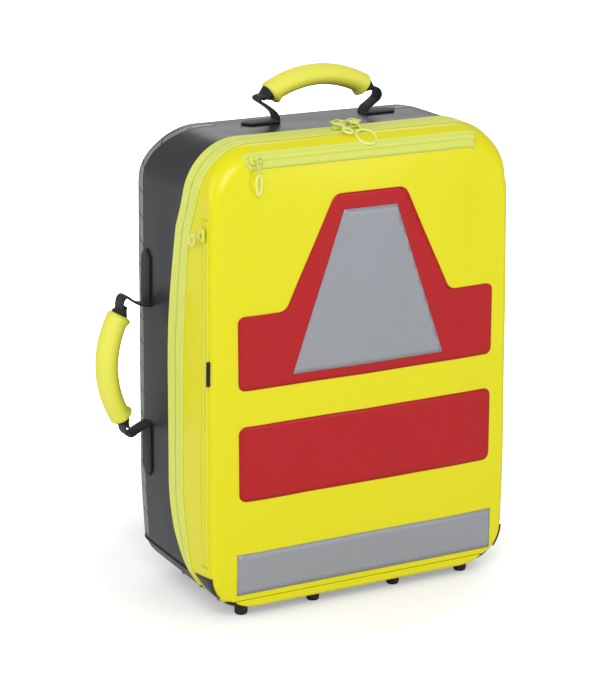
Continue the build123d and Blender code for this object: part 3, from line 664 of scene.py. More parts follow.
def repeat(name, lines, ups, spacing, size, material):
    """One mesh of small pieces along lines; sizes in mm, ups are the outward directions of the points."""
    tree = bpy.data.node_groups.get("Repeat along a line") or repeat_tree()
    points, edges, outward = [], [], []
    for line, up in zip(lines, ups):
        first = len(points)
        points += list(line)
        outward += list(np.broadcast_to(up, np.shape(line)))
        edges += [(first + i, first + i + 1) for i in range(len(line) - 1)]
    data = bpy.data.meshes.new(name)
    data.from_pydata([tuple(p) for p in to_frame(points)], edges, [])
    up_of = data.attributes.new("up", "FLOAT_VECTOR", "POINT")
    up_of.data.foreach_set("vector", np.asarray(outward, np.float32).ravel())
    piece = bpy.data.objects.new(name, data)
    bpy.context.scene.collection.objects.link(piece)
    made = piece.modifiers.new("Repeat", "NODES")
    made.node_group = tree
    values = {
        "Spacing": spacing * MM, "Long": size[0] * MM, "Wide": size[1] * MM, "High": size[2] * MM,
        "Material": MAT[material]
    }
    for item in tree.interface.items_tree:
        if item.in_out == "INPUT" and item.name in values:
            made[item.identifier] = values[item.name]
    graph = bpy.context.evaluated_depsgraph_get()
    result = bpy.data.meshes.new_from_object(piece.evaluated_get(graph))
    piece.modifiers.clear()
    piece.data = result
    shade(piece)
    return piece


def wall_normal(q, y):
    """Outward direction of the walls."""
    step = 0.5
    a = wall(np.asarray(q) + step, y) - wall(np.asarray(q) - step, y)
    b = wall(q, np.asarray(y) + step) - wall(q, np.asarray(y) - step)
    n = np.cross(a, b)
    n /= np.linalg.norm(n, axis=-1)[..., None]
    here = wall(q, y)
    out = here - np.array([0, 0, 280.0])
    return np.where((n * out).sum(-1)[..., None] < 0, -n, n)


# Shell and lid


def dense_wall(start, end, count):
    """Distances round the outline from start to end, closer together where it turns."""
    q = np.linspace(start, end, 6000)
    base = outline(q)
    turn = np.abs(np.gradient(np.unwrap(np.arctan2(base[:, 3], base[:, 2]))))
    weight = np.cumsum(1 / len(q) + turn / 14)
    return np.interp(np.linspace(weight[0], weight[-1], count), weight, q)


def shell_skin():
    """Back half of the bag: walls from the zip's line back, round the back edges, and the back panel."""
    q = dense_wall(0, LENGTH, 421)[:-1]
    z = outline(q)[:, 1]
    edge = np.where(z < HEM_Z, FRONT_Y + 5.0, split_y(z) + 0.6)
    rows = [wall(q, edge + (BACK_Y - BACK_ROUND - edge) * t) for t in np.linspace(0, 1, 26)]
    rows += [
        wall(q, BACK_Y - BACK_ROUND * (1 - math.sin(a)))
        for a in np.linspace(0, math.pi / 2 * 0.999, 11)[1:]
    ]
    rim = rows[-1]
    level = np.round(np.clip(z, 200, 380) / 6) * 6
    middle = np.stack([np.zeros_like(z), np.full_like(z, BACK_Y), level], -1)
    for t in np.linspace(0, 1, 22)[1:]:
        row = rim + (middle - rim) * t
        row[:, 1] = BACK_Y + 1.2 * smooth(t, 0, 0.6) + 0.5 * ripple(
            row[:, 0], 0, row[:, 2]
        ) * smooth(t, 0, 0.4)
        rows.append(row)
    return grid_object("shell_skin", np.stack(rows), wrap=True)


def lid_outline(count):
    """Closed outline of the lid's front: the bag's outline above the hem, and the hem's line."""
    start = float(np.interp(HEM_Z + 0.6, TABLE[120:180, 1], ROUND[120:180]))
    return dense_wall(start, LENGTH - start, count)


def lid_skin():
    """Front half: walls from the zip's line forward, the rounded front edge, and the front panel."""
    q = lid_outline(400)
    z = outline(q)[:, 1]
    r = front_round(z)
    edge = split_y(z) - 0.6
    start = np.maximum(edge, FRONT_Y + r + 0.2)
    rows = [wall(q, start + (FRONT_Y + r - start) * t) for t in np.linspace(0, 1, 22)]
    for a in np.linspace(0, math.pi / 2 * 0.999, 9)[1:]:
        rows.append(wall(q, FRONT_Y + r * (1 - math.sin(a))))
    count = 60
    hem_x = np.linspace(rows[-1][-1, 0], rows[-1][0, 0], count + 2)[1:-1]
    bottom = []
    for row in rows:
        y = np.linspace(row[-1, 1], row[0, 1], count + 2)[1:-1]
        bottom.append(np.stack([hem_x, np.minimum(y, LIP_Y + 3), np.full(count, HEM_Z + 0.1)], -1))
    rows = [np.vstack([row, more]) for row, more in zip(rows, bottom)]
    rim = rows[-1]
    level = np.round(np.clip(rim[:, 2], 190, 400) / 6) * 6
    middle = np.stack([np.zeros(len(rim)), np.full(len(rim), FRONT_Y), level], -1)
    for t in np.concatenate([[0.004], np.linspace(0, 1, 44)[1:]]):
        row = rim + (middle - rim) * t
        flat = front(row[:, 0], row[:, 2])
        row[:, 1] = rim[:, 1] + (flat[:, 1] - rim[:, 1]) * min(1.0, t * 12)
        rows.append(row)
    return grid_object("lid_skin", np.stack(rows), wrap=True)


def patch(name, outline_points, surface_at, thick, step=7.0, lift=0.25, round_corner=0.0):
    """A thin piece on a surface: its flat outline, cut into cells, laid on the surface and given a wall."""
    mesh = bmesh.new()
    corners = [mesh.verts.new((u, v, 0)) for u, v in outline_points]
    mesh.faces.new(corners)
    if round_corner:
        bmesh.ops.bevel(
            mesh, geom=list(mesh.verts), offset=round_corner, segments=6, affect="VERTICES", profile=0.5
        )
    u = [p[0] for p in outline_points]
    v = [p[1] for p in outline_points]
    for axis, low, high in ((0, min(u), max(u)), (1, min(v), max(v))):
        direction = (1, 0, 0) if axis == 0 else (0, 1, 0)
        for at in np.arange(low + step, high - step / 3, step):
            spot = (at, 0, 0) if axis == 0 else (0, at, 0)
            bmesh.ops.bisect_plane(
                mesh, geom=mesh.verts[:] + mesh.edges[:] + mesh.faces[:], plane_co=spot, plane_no=direction
            )
    flat = np.array([vert.co for vert in mesh.verts])
    for vert, place in zip(mesh.verts, to_frame(surface_at(flat[:, 0], flat[:, 1], lift))):
        vert.co = place
    data = bpy.data.meshes.new(name)
    mesh.to_mesh(data)
    mesh.free()
    piece = bpy.data.objects.new(name, data)
    bpy.context.scene.collection.objects.link(piece)
    thicken(piece, thick, offset=1.0)
    clean(piece, 0.005)
    shade(piece)
    return piece


def strip(name, q, y_from, y_to, lift, thick, across=8, ribs=0, rib_high=0.0):
    """Band on the walls along distances q, between two depths, with ribs along it."""
    t = np.linspace(0, 1, across)
    y = y_from[:, None] + (y_to - y_from)[:, None] * t
    edge = np.minimum(t, 1 - t) * across
    high = np.minimum(edge, 1.0) * thick
    if ribs:
        high = high + rib_high * (0.5 - 0.5 * np.cos(2 * math.pi * ribs * t))
    top = wall(q[:, None], y, lift + high[None, :])
    base = wall(q[:, None], y, lift - 0.4)
    ring = np.concatenate([top, base[:, ::-1]], 1)
    piece = grid_object(name, ring, wrap=True)
    n = ring.shape[1]
    mesh = bmesh.new()
    mesh.from_mesh(piece.data)
    mesh.verts.ensure_lookup_table()
    last = (len(q) - 1) * n
    mesh.faces.new([mesh.verts[i] for i in range(n)])
    mesh.faces.new([mesh.verts[last + i] for i in range(n)][::-1])
    bmesh.ops.recalc_face_normals(mesh, faces=mesh.faces)
    mesh.to_mesh(piece.data)
    mesh.free()
    shade(piece)
    return piece


def build_shell():
    """Shell skin, the boot with its piping and stitches, and the lip under the front."""
    skin_of = shell_skin()
    clean(skin_of, 0.05)
    thicken(skin_of, SHELL_THICK)
    shade(skin_of)
    finish(skin_of, "pack_body", "shell", "shell_tarpaulin", "main_shell", "bottom_guard")
    # Piping over the seam of the bottom boot, from the zip on one side round the back to the other
    q = q_left(BOOT_HIGH)
    y0 = float(split_y(BOOT_HIGH)) + 14
    left = [wall(q, y, 0.6) for y in np.linspace(y0, BACK_Y - BACK_ROUND, 12)]
    left += [
        wall(q, BACK_Y - BACK_ROUND * (1 - math.sin(a)), 0.6)
        for a in np.linspace(0, math.pi / 2 * 0.97, 9)[1:]
    ]
    left = np.array(left)
    right = left[::-1].copy()
    right[:, 0] *= -1
    across = left[-1] + (right[0] - left[-1]) * np.linspace(0, 1, 40)[1:-1, None]
    runs = np.vstack([left, across, right])
    finish(tube("boot_piping", runs, 1.1, sides=8, count=300), "pack_body", "binding", "shell_tarpaulin")
    seam = left + np.array([0, 0, STITCH_ABOVE_BOOT])
    other = seam * np.array([-1, 1, 1])
    out = np.array([-1.0, 0, 0])
    finish(
        repeat("boot_stitches", [seam[:12], other[:12]], [out, -out], 4.4, (3.0, 0.8, 0.6), "thread_dark"),
        "pack_body", None, "shell_tarpaulin",
    )
    # Black boot edge under the front
    x = np.linspace(-146, 146, 60)
    lip = np.stack([x, np.full(60, FRONT_Y + 6.0), np.full(60, BOTTOM_Z + 1.0)], -1)
    finish(tube("front_lip_piping", lip, 2.2, sides=8, count=60), "pack_body", "binding", "shell_tarpaulin")


def build_segments():
    """Reflective strips cut into slanted segments, near the back edge of both side walls."""
    y_low = 69.0
    for side, label in ((-1, "left"), (1, "right")):
        start, stop = q_left(52.0), q_top(-118.0)
        if side > 0:
            start, stop = LENGTH - stop, LENGTH - start
        parts = []
        for n in range(int((stop - start) / SEGMENT_PITCH)):
            a = start + n * SEGMENT_PITCH
            b = a + SEGMENT_PITCH - SEGMENT_GAP
            t = np.linspace(0, 1, 9)[:, None]
            s = np.linspace(0, 1, 4)[None, :]
            lean = SEGMENT_LEAN * s * (-side)
            q = a + (b - a) * t + lean
            y = y_low + SEGMENT_WIDE * s - 40 * smooth(np.abs(q - (start if side > 0 else stop)), 110, 0)
            parts.append(grid_object("segment", wall(q, np.broadcast_to(y, q.shape), 0.35)))
        made = join(f"reflective_segments_{label}", parts)
        thicken(made, TAPE_THICK, offset=1.0)
        clean(made, 0.005)
        shade(made)
        # The side-wall segments take the darker copy of the reflective tape: painted shade.
        finish(made, "pack_body", "silver_painted_shade", "reflective_tape", f"reflective_strip_{label}")


def build_lid():
    """Lid skin, the cloth under its hinge, welded seams and the seam tab."""
    skin_of = lid_skin()
    clean(skin_of, 0.05)
    thicken(skin_of, LID_THICK)
    shade(skin_of)
    finish(skin_of, "lid", "lid", "lid_tarpaulin", "lid_shell")
    # Below the hinge the front's cloth runs on to the boot and stays with the body
    x = np.linspace(-FOLD_HALF_WIDTH, FOLD_HALF_WIDTH, 180)
    drop = np.interp(FOLD_HALF_WIDTH - np.abs(x), [0, 3, 8, 14, 26], [0.5, 3.5, 6.5, 9.0, 10.8])
    rows = []
    for t in (0, 0.03, 0.15, 0.3, 0.45, 0.6, 0.7, 0.8, 0.9, 1.0):
        bend = max(0.0, t - 0.65) / 0.35
        rows.append(
            np.stack(
                [x, FRONT_Y + 0.1 + 5.0 * bend**2 + 0 * x, HEM_Z - 0.05 - drop * (t - 0.1 * bend**2)], -1
            )
        )
    fold = grid_object("front_fold", np.array(rows))
    thicken(fold, FOLD_THICK)
    shade(fold)
    finish(fold, "pack_body", "lid", "lid_tarpaulin")
    # Welded seams on the side walls and the front edge
    for side, label in ((-1, "left"), (1, "right")):
        for n, (y, low, high, radius) in enumerate(
            ((FRONT_Y + 5.5, 60, 480, 0.9), (FRONT_Y + 28.0, 90, 470, 0.7))
        ):
            z = np.linspace(low, high, 80)
            q = np.array([q_left(v) for v in z])
            if side > 0:
                q = LENGTH - q
            finish(
                tube(f"lid_weld_{label}_{n}", wall(q, y, 0.1), radius, sides=8, count=160), "lid", "lid",
                "lid_tarpaulin"
            )
    tab_z = np.linspace(284, 312, 8)
    line = wall(np.array([q_left(v) for v in tab_z]), FRONT_Y + 6.5, 2.2)
    piece = ribbon("seam_tab_fold", line, [0, 0.55, 0] + 0 * line, [-1, 0, 0] + 0 * line, 6.0, 3.6, 0.6)
    finish(piece, "lid", "binding", "shell_tarpaulin", "seam_tab")


def build_front_fields():
    """Red foil fields, the reflective emblem and the reflective band."""
    half, mid = 166.0, 6.0
    bar = [(mid - half, 144), (mid + half, 144), (mid + half, 233), (mid - half, 233)]
    right = [(half, 275), (half, 361), (106.5, 361), (45.5, 489)]
    field = [(mid + u, v) for u, v in right] + [(mid - u, v) for u, v in right[::-1]]
    emblem = [(mid - 98, 287), (mid + 98, 287), (mid + 34, 470), (mid - 34, 470)]
    band = [(-163, 31), (176, 31), (176, 81), (-163, 81)]
    rows = (
        ("red_bar", bar, "red", 9.0, 0.2, "red_foil", "red_lower_bar"),
        ("red_field", field, "red", 8.0, 0.2, "red_foil", "red_upper_field"),
        ("silver_emblem", emblem, "silver", 0.0, 0.75, "reflective_tape", "reflective_emblem"),
        ("silver_band", band, "silver", 0.0, 0.2, "reflective_tape", "reflective_band"),
    )
    for name, points, key, corner, lift, slot, stands_for in rows:
        piece = patch(name, points, front, 0.45, lift=lift, round_corner=corner)
        finish(piece, "lid", key, slot, stands_for)


def build_zips():
    """Main zip in two halves, pocket zips, their coils and the patches on their ends."""
    start = q_left(36.0)
    q = dense_wall(start, LENGTH - start, 520)
    z = outline(q)[:, 1]
    chain = split_y(z)
    taper = smooth(z, 30, 92)
    room = np.clip(chain - FRONT_Y, 1.2, 17.5)
    for body, sign, slot_node in (("pack_body", 1, "main_zip_shell_half"), ("lid", -1, "main_zip_lid_half")):
        width = 17.5 * (0.12 + 0.88 * taper) if sign > 0 else np.minimum(17.5 * (0.12 + 0.88 * taper), room)
        tape = strip(
            f"{slot_node}_tape", q, chain + sign * 0.5, chain + sign * width, 0.5, 0.7, across=26, ribs=5,
            rib_high=0.55
        )
        finish(tape, body, "tape", "zip_tape", slot_node)
        line = wall(q, chain + sign * 1.1, 1.3)
        coil = repeat(f"{slot_node}_coil", [line], [wall_normal(q, chain)], 1.9, (1.2, 2.6, 1.2), "teeth")
        finish(coil, body, None, "zip_tape")
    # Side pocket zip on the left wall
    zz = np.linspace(66, 470, 120)
    qs = np.array([q_left(v) for v in zz])
    y = np.full_like(zz, FRONT_Y + 18.0)
    piece = strip("side_pocket_zip_tape", qs, y - 8, y + 8, 0.3, 0.5, across=18, ribs=2, rib_high=0.5)
    finish(piece, "lid", "lid", "lid_tarpaulin", "side_pocket_zip")
    line = wall(qs, y, 1.0)
    finish(
        repeat("side_pocket_zip_coil", [line], [wall_normal(qs, y)], 2.2, (1.4, 2.4, 1.2), "teeth"), "lid",
        None, "zip_tape"
    )
    # Top pocket zip round the top front edge
    x = np.linspace(-152, 152, 120)
    qt = np.array([q_top(v) for v in x])
    r = front_round(outline(qt)[:, 1])
    lo = FRONT_Y + r * (1 - math.cos(math.radians(3)))
    hi = FRONT_Y + r * (1 - math.cos(math.radians(49)))
    piece = strip("top_pocket_zip_tape", qt, lo, hi, 0.4, 0.7, across=20, ribs=4, rib_high=0.5)
    finish(piece, "lid", "tape", "zip_tape", "top_pocket_zip")
    mid = FRONT_Y + r * (1 - math.cos(math.radians(25)))
    line = wall(qt, mid, 1.5)
    finish(
        repeat("top_pocket_zip_coil", [line], [wall_normal(qt, mid)], 1.9, (1.2, 2.0, 0.8), "teeth"), "lid",
        None, "zip_tape"
    )
    # Black patches on the lower ends of the main zip
    parts = []
    for side in (-1, 1):
        def at(u, v, lift, side=side):
            qv = np.array([q_left(h) for h in v])
            return wall(qv if side < 0 else LENGTH - qv, FRONT_Y + u, lift)
        points = [(3, 56), (3, 30), (45, 50)]
        parts.append(patch("zip_end_patch", points, at, 0.8, step=6.0, lift=1.1))
    finish(join("zip_end_covers", parts), "lid", "shell", "shell_tarpaulin", "zip_end_patches")


# Sliders, pulls, handles


def transform(points, place):
    """Points of a piece drawn at the origin, put at (origin, x direction, z direction) in the bag's mm."""
    origin, x_dir, z_dir = (np.asarray(v, float) for v in place)
    x_dir = x_dir / np.linalg.norm(x_dir)
    z_dir = z_dir / np.linalg.norm(z_dir)
    y_dir = np.cross(z_dir, x_dir)
    p = np.asarray(points, float)
    return origin + p[..., :1] * x_dir + p[..., 1:2] * y_dir + p[..., 2:] * z_dir


def slab(name, outline_points, low, high, place, edge=0.5):
    """Flat moulded piece: a closed outline between two heights, its edges rounded."""
    n = len(outline_points)
    points = [(x, y, low) for x, y in outline_points] + [(x, y, high) for x, y in outline_points]
    faces = [tuple(range(n))[::-1], tuple(range(n, 2 * n))]
    faces += [(i, (i + 1) % n, n + (i + 1) % n, n + i) for i in range(n)]
    piece = mesh_object(name, transform(points, place), faces)
    if edge:
        bevelled(piece, edge)
    shade(piece)
    return piece


def rounded_outline(long, wide, corner, steps=5, waist=0.0):
    """Outline of a rectangle with round corners, drawn in a little at its middle by a waist."""
    points = []
    for cx, cy, start in ((1, 1, 0), (-1, 1, 90), (-1, -1, 180), (1, -1, 270)):
        for k in range(steps + 1):
            a = math.radians(start + 90 * k / steps)
            x = cx * (long / 2 - corner) + corner * math.cos(a)
            y = cy * (wide / 2 - corner) + corner * math.sin(a)
            points.append((x, y * (1 - waist * (1 - abs(x) / (long / 2)))))
    return points


def slider_piece(name, body, seat, node_name):
    """Slider: waisted upper plate, bail arched over it."""
    plate = slab(name, rounded_outline(15, 11, 3.2, waist=0.18), 2.9, 5.4, seat, 0.7)
    arch = [(-4.6, 0, 5.0), (-3.6, 0, 7.4), (0, 0, 8.5), (3.6, 0, 7.4), (4.6, 0, 5.0)]
    bail = tube(name + "_bail", transform(arch, seat), 0.95, sides=8, count=20)
    finish(join(name + "_casting", [plate, bail]), body, "slider", "zip_metal", node_name)


def pull_piece(name, body, place, reach, drop, node_name, bunch=0.0, wide=7.0, long=9.8):
    """Braided cord through the bail, knotted, with a soft moulded ring on its end."""
    fall = np.array([0, -math.cos(math.radians(drop)), -math.sin(math.radians(drop))])
    start = np.array([0, -1.2, 7.0])
    knee = start + np.array([0, -reach - 1.5, 0.3])
    tip = knee + fall * 6
    middle = tip + fall * (long + 0.7)
    loop = [start + [-1.1, 0, 0], start + [-1.0, 1.6, 1.0], start + [1.0, 1.6, 1.0], start + [1.1, 0, 0]]
    left = [loop[0], knee + [-1.0, 0, 0.2], tip + [-0.6, 0, 0]]
    right = [loop[3], knee + [1.0, 0, 0.2], tip + [0.6, 0, 0]]
    cords = [
        tube("cord", transform(np.array(p), place), 0.85, sides=8, count=18) for p in (loop, left, right)
    ]
    knot = [
        tip + [-1.6, 0, 0.6], tip + fall * 1.4 + [0, 0, 1.7], tip + [1.6, 0, 0.6], tip + [0.4, 0, -1.2], tip
        + fall * 2 + [-1.4, 0, 0.2]
    ]
    cords.append(tube("knot", transform(np.array(knot), place), 1.15, sides=8, count=26))
    if bunch:
        rng = np.random.RandomState(5 + int(reach * 7))
        wound = []
        for k in range(3):
            turn = [
                (
                    bunch * math.cos(a) * (0.8 + 0.2 * k),
                    -3 + bunch * 0.7 * math.sin(a) + k,
                    7.8 + 1.6 * k + rng.uniform(-1, 1),
                )
                for a in np.linspace(0, 2 * math.pi, 9)
            ]
            wound.append(tube("bunch", transform(np.array(turn), place), 1.0, sides=8, count=40))
        # The spare cord stays wound round the slider when the pull turns
        finish(join(name + "_wound_cord", wound), body.replace("_pull", "_slider"), "cord", "pull_cord")
    made = join(name + "_cord", cords)
    finish(made, body, "cord", "pull_cord", node_name)
    ring = []
    for a in np.linspace(0, 2 * math.pi, 25):
        ring.append(
            middle + np.array([1, 0, 0]) * wide * math.sin(a)
            + fall * long * -math.cos(a) * (1 - 0.1 * math.cos(a))
        )
    piece = tube(name + "_ring", transform(np.array(ring), place), 1.5, sides=10, count=49, closed=True)
    finish(piece, body, "loop", "pull_cord")


def build_sliders():
    """Sliders on their seats, each with its pull."""
    top = float(split_y(TOP_Z))
    angle = math.radians(25)
    start_z = 454.0
    seats = {
        "main_left": ((-9.5, top, TOP_Z), (1, 0, 0), (0, 0, 1)),
        "main_right": ((9.5, top, TOP_Z), (1, 0, 0), (0, 0, 1)),
        "top_pocket": (
            (
                -136, FRONT_Y + TOP_FRONT_ROUND * (1 - math.cos(angle)),
                TOP_Z - TOP_FRONT_ROUND * (1 - math.sin(angle))
            ),
            (1, 0, 0), (0, -math.cos(angle), math.sin(angle)),
        ),
        "side_pocket": ((-half_width(start_z), FRONT_Y + 18, start_z), (TAPER, 0, 1), (-1, 0, TAPER)),
    }
    shapes = {
        "main_left": (6, 12, 8.0, 5.0, 7.0),
        "main_right": (11, 30, 7.0, 11.5, 12.5),
        "top_pocket": (8, 28, 3.0, 3.4, 11.0),
        "side_pocket": (4, 3, 0, 5.0, 9.0),
    }
    for name, seat in seats.items():
        slider_piece(name, name + "_slider", seat, name + "_slider")
        place = seat
        if name == "side_pocket":
            turn = math.radians(205)
            x, z = np.array(seat[1], float), np.array(seat[2], float)
            x /= np.linalg.norm(x)
            z /= np.linalg.norm(z)
            y = np.cross(z, x)
            place = (seat[0], x * math.cos(turn) + y * math.sin(turn), z)
        reach, drop, bunch, wide, long = shapes[name]
        pull_piece(name + "_pull", name + "_pull", place, reach, drop, name + "_pull", bunch, wide, long)


def grip_piece(name, body, place, rise, node_name, long=126.0, bow=17.0):
    """Foam sleeve: bowed, fullest in the middle, with a lip on the underside of each end."""
    t = np.linspace(-1, 1, 61)
    half = long / 2
    x = half * t
    z = rise - bow * t**2
    run = np.stack([np.ones_like(t) * half, 0 * t, -2 * bow * t], -1)
    run /= np.linalg.norm(run, axis=1)[:, None]
    up = np.stack([-run[:, 2], 0 * t, run[:, 0]], -1)
    across = np.array([0, 1.0, 0])
    thick = 12.4 * (1 - 0.02 * t**2)
    wide = 18.0 * (1 - 0.10 * t**2)
    end = smooth(np.abs(t), 0.965, 1.0)
    lip = np.exp(-(((np.abs(t) - 0.93) / 0.05) ** 2)) * 4.0
    turn = np.linspace(0, 2 * math.pi, 28, endpoint=False)
    rows = []
    for k in range(len(t)):
        w, h = wide[k] * (1 - 0.24 * end[k]), thick[k] * (1 - 0.24 * end[k])
        crease = 0.35 * math.exp(-((t[k] * 18) ** 2))
        ring = []
        for a in turn:
            c, s = math.cos(a), math.sin(a)
            low = max(0.0, -s) ** 2
            outward = up[k] * ((h - crease) * s - lip[k] * low)
            ring.append(np.array([x[k], 0, z[k]]) + across * (w - crease) * c + outward)
        rows.append(ring)
    grid = transform(np.array(rows), place)
    n = len(turn)
    flat = grid.reshape(-1, 3)
    faces = grid_faces(len(t), n, wrap=True) + [tuple(range(n))[::-1], tuple(range(len(flat) - n, len(flat)))]
    piece = clean(mesh_object(name, flat, faces), 0.001)
    for side, label in ((-1, "a"), (1, "b")):
        # Webbing comes out of the sleeve's end doubled and flattens into the leg
        u = np.linspace(0.9, 1.16, 9)
        line = np.stack([side * half * u, 0 * u, rise - bow * u**2], -1)
        along, over = directions(
            transform(line, place), np.cross(np.asarray(place[2], float), np.asarray(place[1], float))
        )
        sizes = [(12.6 - 0.6 * k / 8, 9.4 - 7.6 * smooth(k, 3, 8)) for k in range(9)]
        rows = []
        for k, spot in enumerate(transform(line, place)):
            w, h = sizes[k]
            rows.append(
                [
                    spot + along[k] * w * math.cos(a) + over[k] * h * math.sin(a)
                    for a in np.linspace(0, 2 * math.pi, 20, endpoint=False)
                ]
            )
        flat_end = np.array(rows).reshape(-1, 3)
        ends = grid_faces(9, 20, wrap=True) + [tuple(range(20))[::-1], tuple(range(160, 180))]
        finish(
            clean(mesh_object(f"{name}_collar_{label}", flat_end, ends), 0.001), body, "webbing", "webbing"
        )
    finish(piece, body, "grip", "grip_cover", node_name)


def leg_piece(name, place, points, count=46, wide=24.0):
    """Webbing of one leg of a handle: follows the anchor at its foot and the grip at its end."""
    line = transform(curve_points([(x, 0, z) for x, z in points], count), place)
    y_dir = np.cross(np.asarray(place[2], float), np.asarray(place[1], float))
    across, up = directions(line, y_dir)
    piece = ribbon(name, line, across, up, wide, 2.4, 0.2)
    clean(piece, 0.001)
    soften(piece)
    paint(piece, "webbing")
    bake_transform(piece)
    return piece


def build_handles():
    """Grips, webbing legs, sewn ends and the press stud."""
    top_place = ((5, 20, 561.9), (1, 0, 0), (0, 0, 1))
    side_place = ((-half_width(200) - 12.9, 60, 272), (0, 0, 1), (-1, 0, 0))
    grip_piece("top_grip_sleeve", "top_handle", top_place, 39.5, "top_handle_grip")
    grip_piece("side_grip_sleeve", "side_handle", side_place, 44.0, "side_handle_grip")
    legs = {
        "top_left": (
            top_place, [(-54, -12.4), (-54, -6), (-58, 1), (-68, 9), (-77, 15), (-76, 19), (-66, 21)],
            "top_handle"
        ),
        "top_right": (
            top_place, [(60, -12.4), (63, -5), (70, 0), (78, 6), (80, 12), (76, 18), (66, 21)], "top_handle"
        ),
        "side_upper": (
            side_place, [(70, -9.5), (71, -4), (74, 6), (80, 14), (84, 20), (80, 25), (68, 27)],
            "side_handle"
        ),
        "side_lower": (
            side_place, [(-72, -9.5), (-74, -3), (-79, 8), (-84, 18), (-81, 24), (-72, 26.5), (-66, 27.5)],
            "side_handle"
        ),
    }
    for name, (place, points, swing) in legs.items():
        x = points[0][0]
        leg_piece(f"{name}_webbing", place, points)
    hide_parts("top_handle_webbing")
    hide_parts("side_handle_webbing")
    # Sewn ends of the webbing on the shell, with their stitches
    parts, rows, ups = [], [], []
    for x0, x1 in ((-54.0, -98.0), (60.0, 104.0)):
        x = np.linspace(x0 + 5, x1 + 5, 24)
        qs = np.array([q_top(v) for v in x])
        side = np.array([0, 1.0, 0])
        line = wall(qs, 20.0, 1.6)
        normal = wall_normal(qs, np.full(24, 20.0))
        taper = 1 - 0.9 * smooth(np.linspace(0, 1, 24), 0.8, 1.0)
        parts.append(sewn_end(line, side, normal, taper, 24.0))
        for off in (-8.5, 8.5):
            rows.append(wall(qs[2:-5], 20.0 + off, 2.7))
            ups.append(normal[2:-5])
    for z0, z1 in ((342.0, 408.0), (200.0, 134.0)):
        z = np.linspace(z0, z1, 30)
        qs = np.array([q_left(v) for v in z])
        line = wall(qs, 60.0, 1.6)
        normal = wall_normal(qs, np.full(30, 60.0))
        taper = 1 - 0.6 * smooth(np.linspace(0, 1, 30), 0.86, 1.0)
        parts.append(sewn_end(line, np.array([0, 1.0, 0]), normal, taper, 24.0))
        for off in (-8.5, 8.5):
            rows.append(wall(qs[2:-5], 60.0 + off, 2.7))
            ups.append(normal[2:-5])
    finish(
        join("handle_sewn_ends", parts), "pack_body", "webbing", "webbing", "top_handle_anchors",
        "side_handle_anchors"
    )
    finish(
        repeat("handle_stitches", rows, ups, 3.4, (2.5, 0.8, 0.6), "thread_dark"), "pack_body", None,
        "webbing"
    )
    # Press stud on the right leg
    points, faces = lathe([(1.2, 1.9), (3.2, 1.7), (4.6, 1.1), (5.2, 0.3), (5.0, -0.2), (2.0, -0.4)])
    stud_place = transform(np.array([(80.6, 0, 11.0)]), top_place)[0]
    stud = mesh_object("press_stud_cap", transform(points, (stud_place, (0, 1, 0), (0.85, 0, -0.35))), faces)
    finish(clean(stud, 0.001), "top_handle", "nickel", "stud_metal", "top_handle_stud")


def sewn_end(line, side, normal, taper, wide):
    """Flat end of webbing, narrowing to its tip."""
    high = 0.9
    rows = []
    for off, h in (
        (-0.5, -0.6), (-0.5, 0.4), (-0.42, 1.0), (0.0, 1.05), (0.42, 1.0), (0.5, 0.4), (0.5, -0.6)
    ):
        rows.append(line + side * (off * wide * taper)[:, None] + normal * (h * high))
    grid = np.stack(rows, 1)
    n = grid.shape[1]
    flat = grid.reshape(-1, 3)
    faces = grid_faces(len(line), n, wrap=True) + [
        tuple(range(n))[::-1], tuple(range(len(flat) - n, len(flat)))
    ]
    return clean(mesh_object("sewn_end", flat, faces), 0.001)


# Feet, harness, inside


def build_feet():
    """Rubber feet with hollow soles, four rows of up to four."""
    parts = []
    xs, ys = (-148.0, -54.0, 54.0, 148.0), (-82.0, -34.0, 14.0, 62.0)
    for x in xs:
        for y in ys:
            if abs(x) < 100 and y in ys[1:3]:
                continue
            points, faces = lathe(
                [
                    (8.0, 15.0), (7.9, 9.0), (7.7, 3.0), (7.2, 1.0), (6.2, 0.15), (3.6, 0.0), (3.0, 1.2),
                    (1.5, 1.4)
                ], 20
            )
            parts.append(clean(mesh_object("foot", points + np.array([x, y, 0]), faces), 0.001))
    piece = join("rubber_feet", parts)
    finish(piece, "pack_body", "rubber", "foot_rubber", "feet")


def puffed(name, node_name, cap=6.0, pressure=4.0):
    """A padded piece from a soft node: remeshed, swollen as cloth under pressure, then subdivided once."""
    data = NODES[node_name].data.copy()
    piece = bpy.data.objects.new(name, data)
    bpy.context.scene.collection.objects.link(piece)
    clean(piece, 0.01)
    remesh = piece.modifiers.new("Remesh", "REMESH")
    remesh.mode, remesh.voxel_size = "VOXEL", 0.005
    apply_modifiers(piece)
    rest = np.array([v.co for v in piece.data.vertices])
    cloth = piece.modifiers.new("Cloth", "CLOTH")
    cloth.settings.use_pressure, cloth.settings.uniform_pressure_force = True, pressure
    cloth.settings.effector_weights.gravity = 0.0
    cloth.point_cache.frame_start, cloth.point_cache.frame_end = 1, 20
    for step in range(1, 21):
        bpy.context.scene.frame_set(step)
    apply_modifiers(piece)
    moved = np.array([v.co for v in piece.data.vertices])
    way = moved - rest
    size = np.linalg.norm(way, axis=1)
    scale = np.minimum(1, cap * MM / np.maximum(size, 1e-9))
    moved = rest + way * scale[:, None]
    piece.data.vertices.foreach_set("co", moved.astype(np.float32).ravel())
    piece.data.update()
    bpy.context.scene.frame_set(1)
    soften(piece)
    shade(piece)
    return piece


def keep_off_back(piece, gap=0.4):
    """Flattens a pad against the bag's back."""
    limit = CENTRE.y + (BACK_Y + gap) * MM
    for vert in piece.data.vertices:
        vert.co.y = max(vert.co.y, limit)


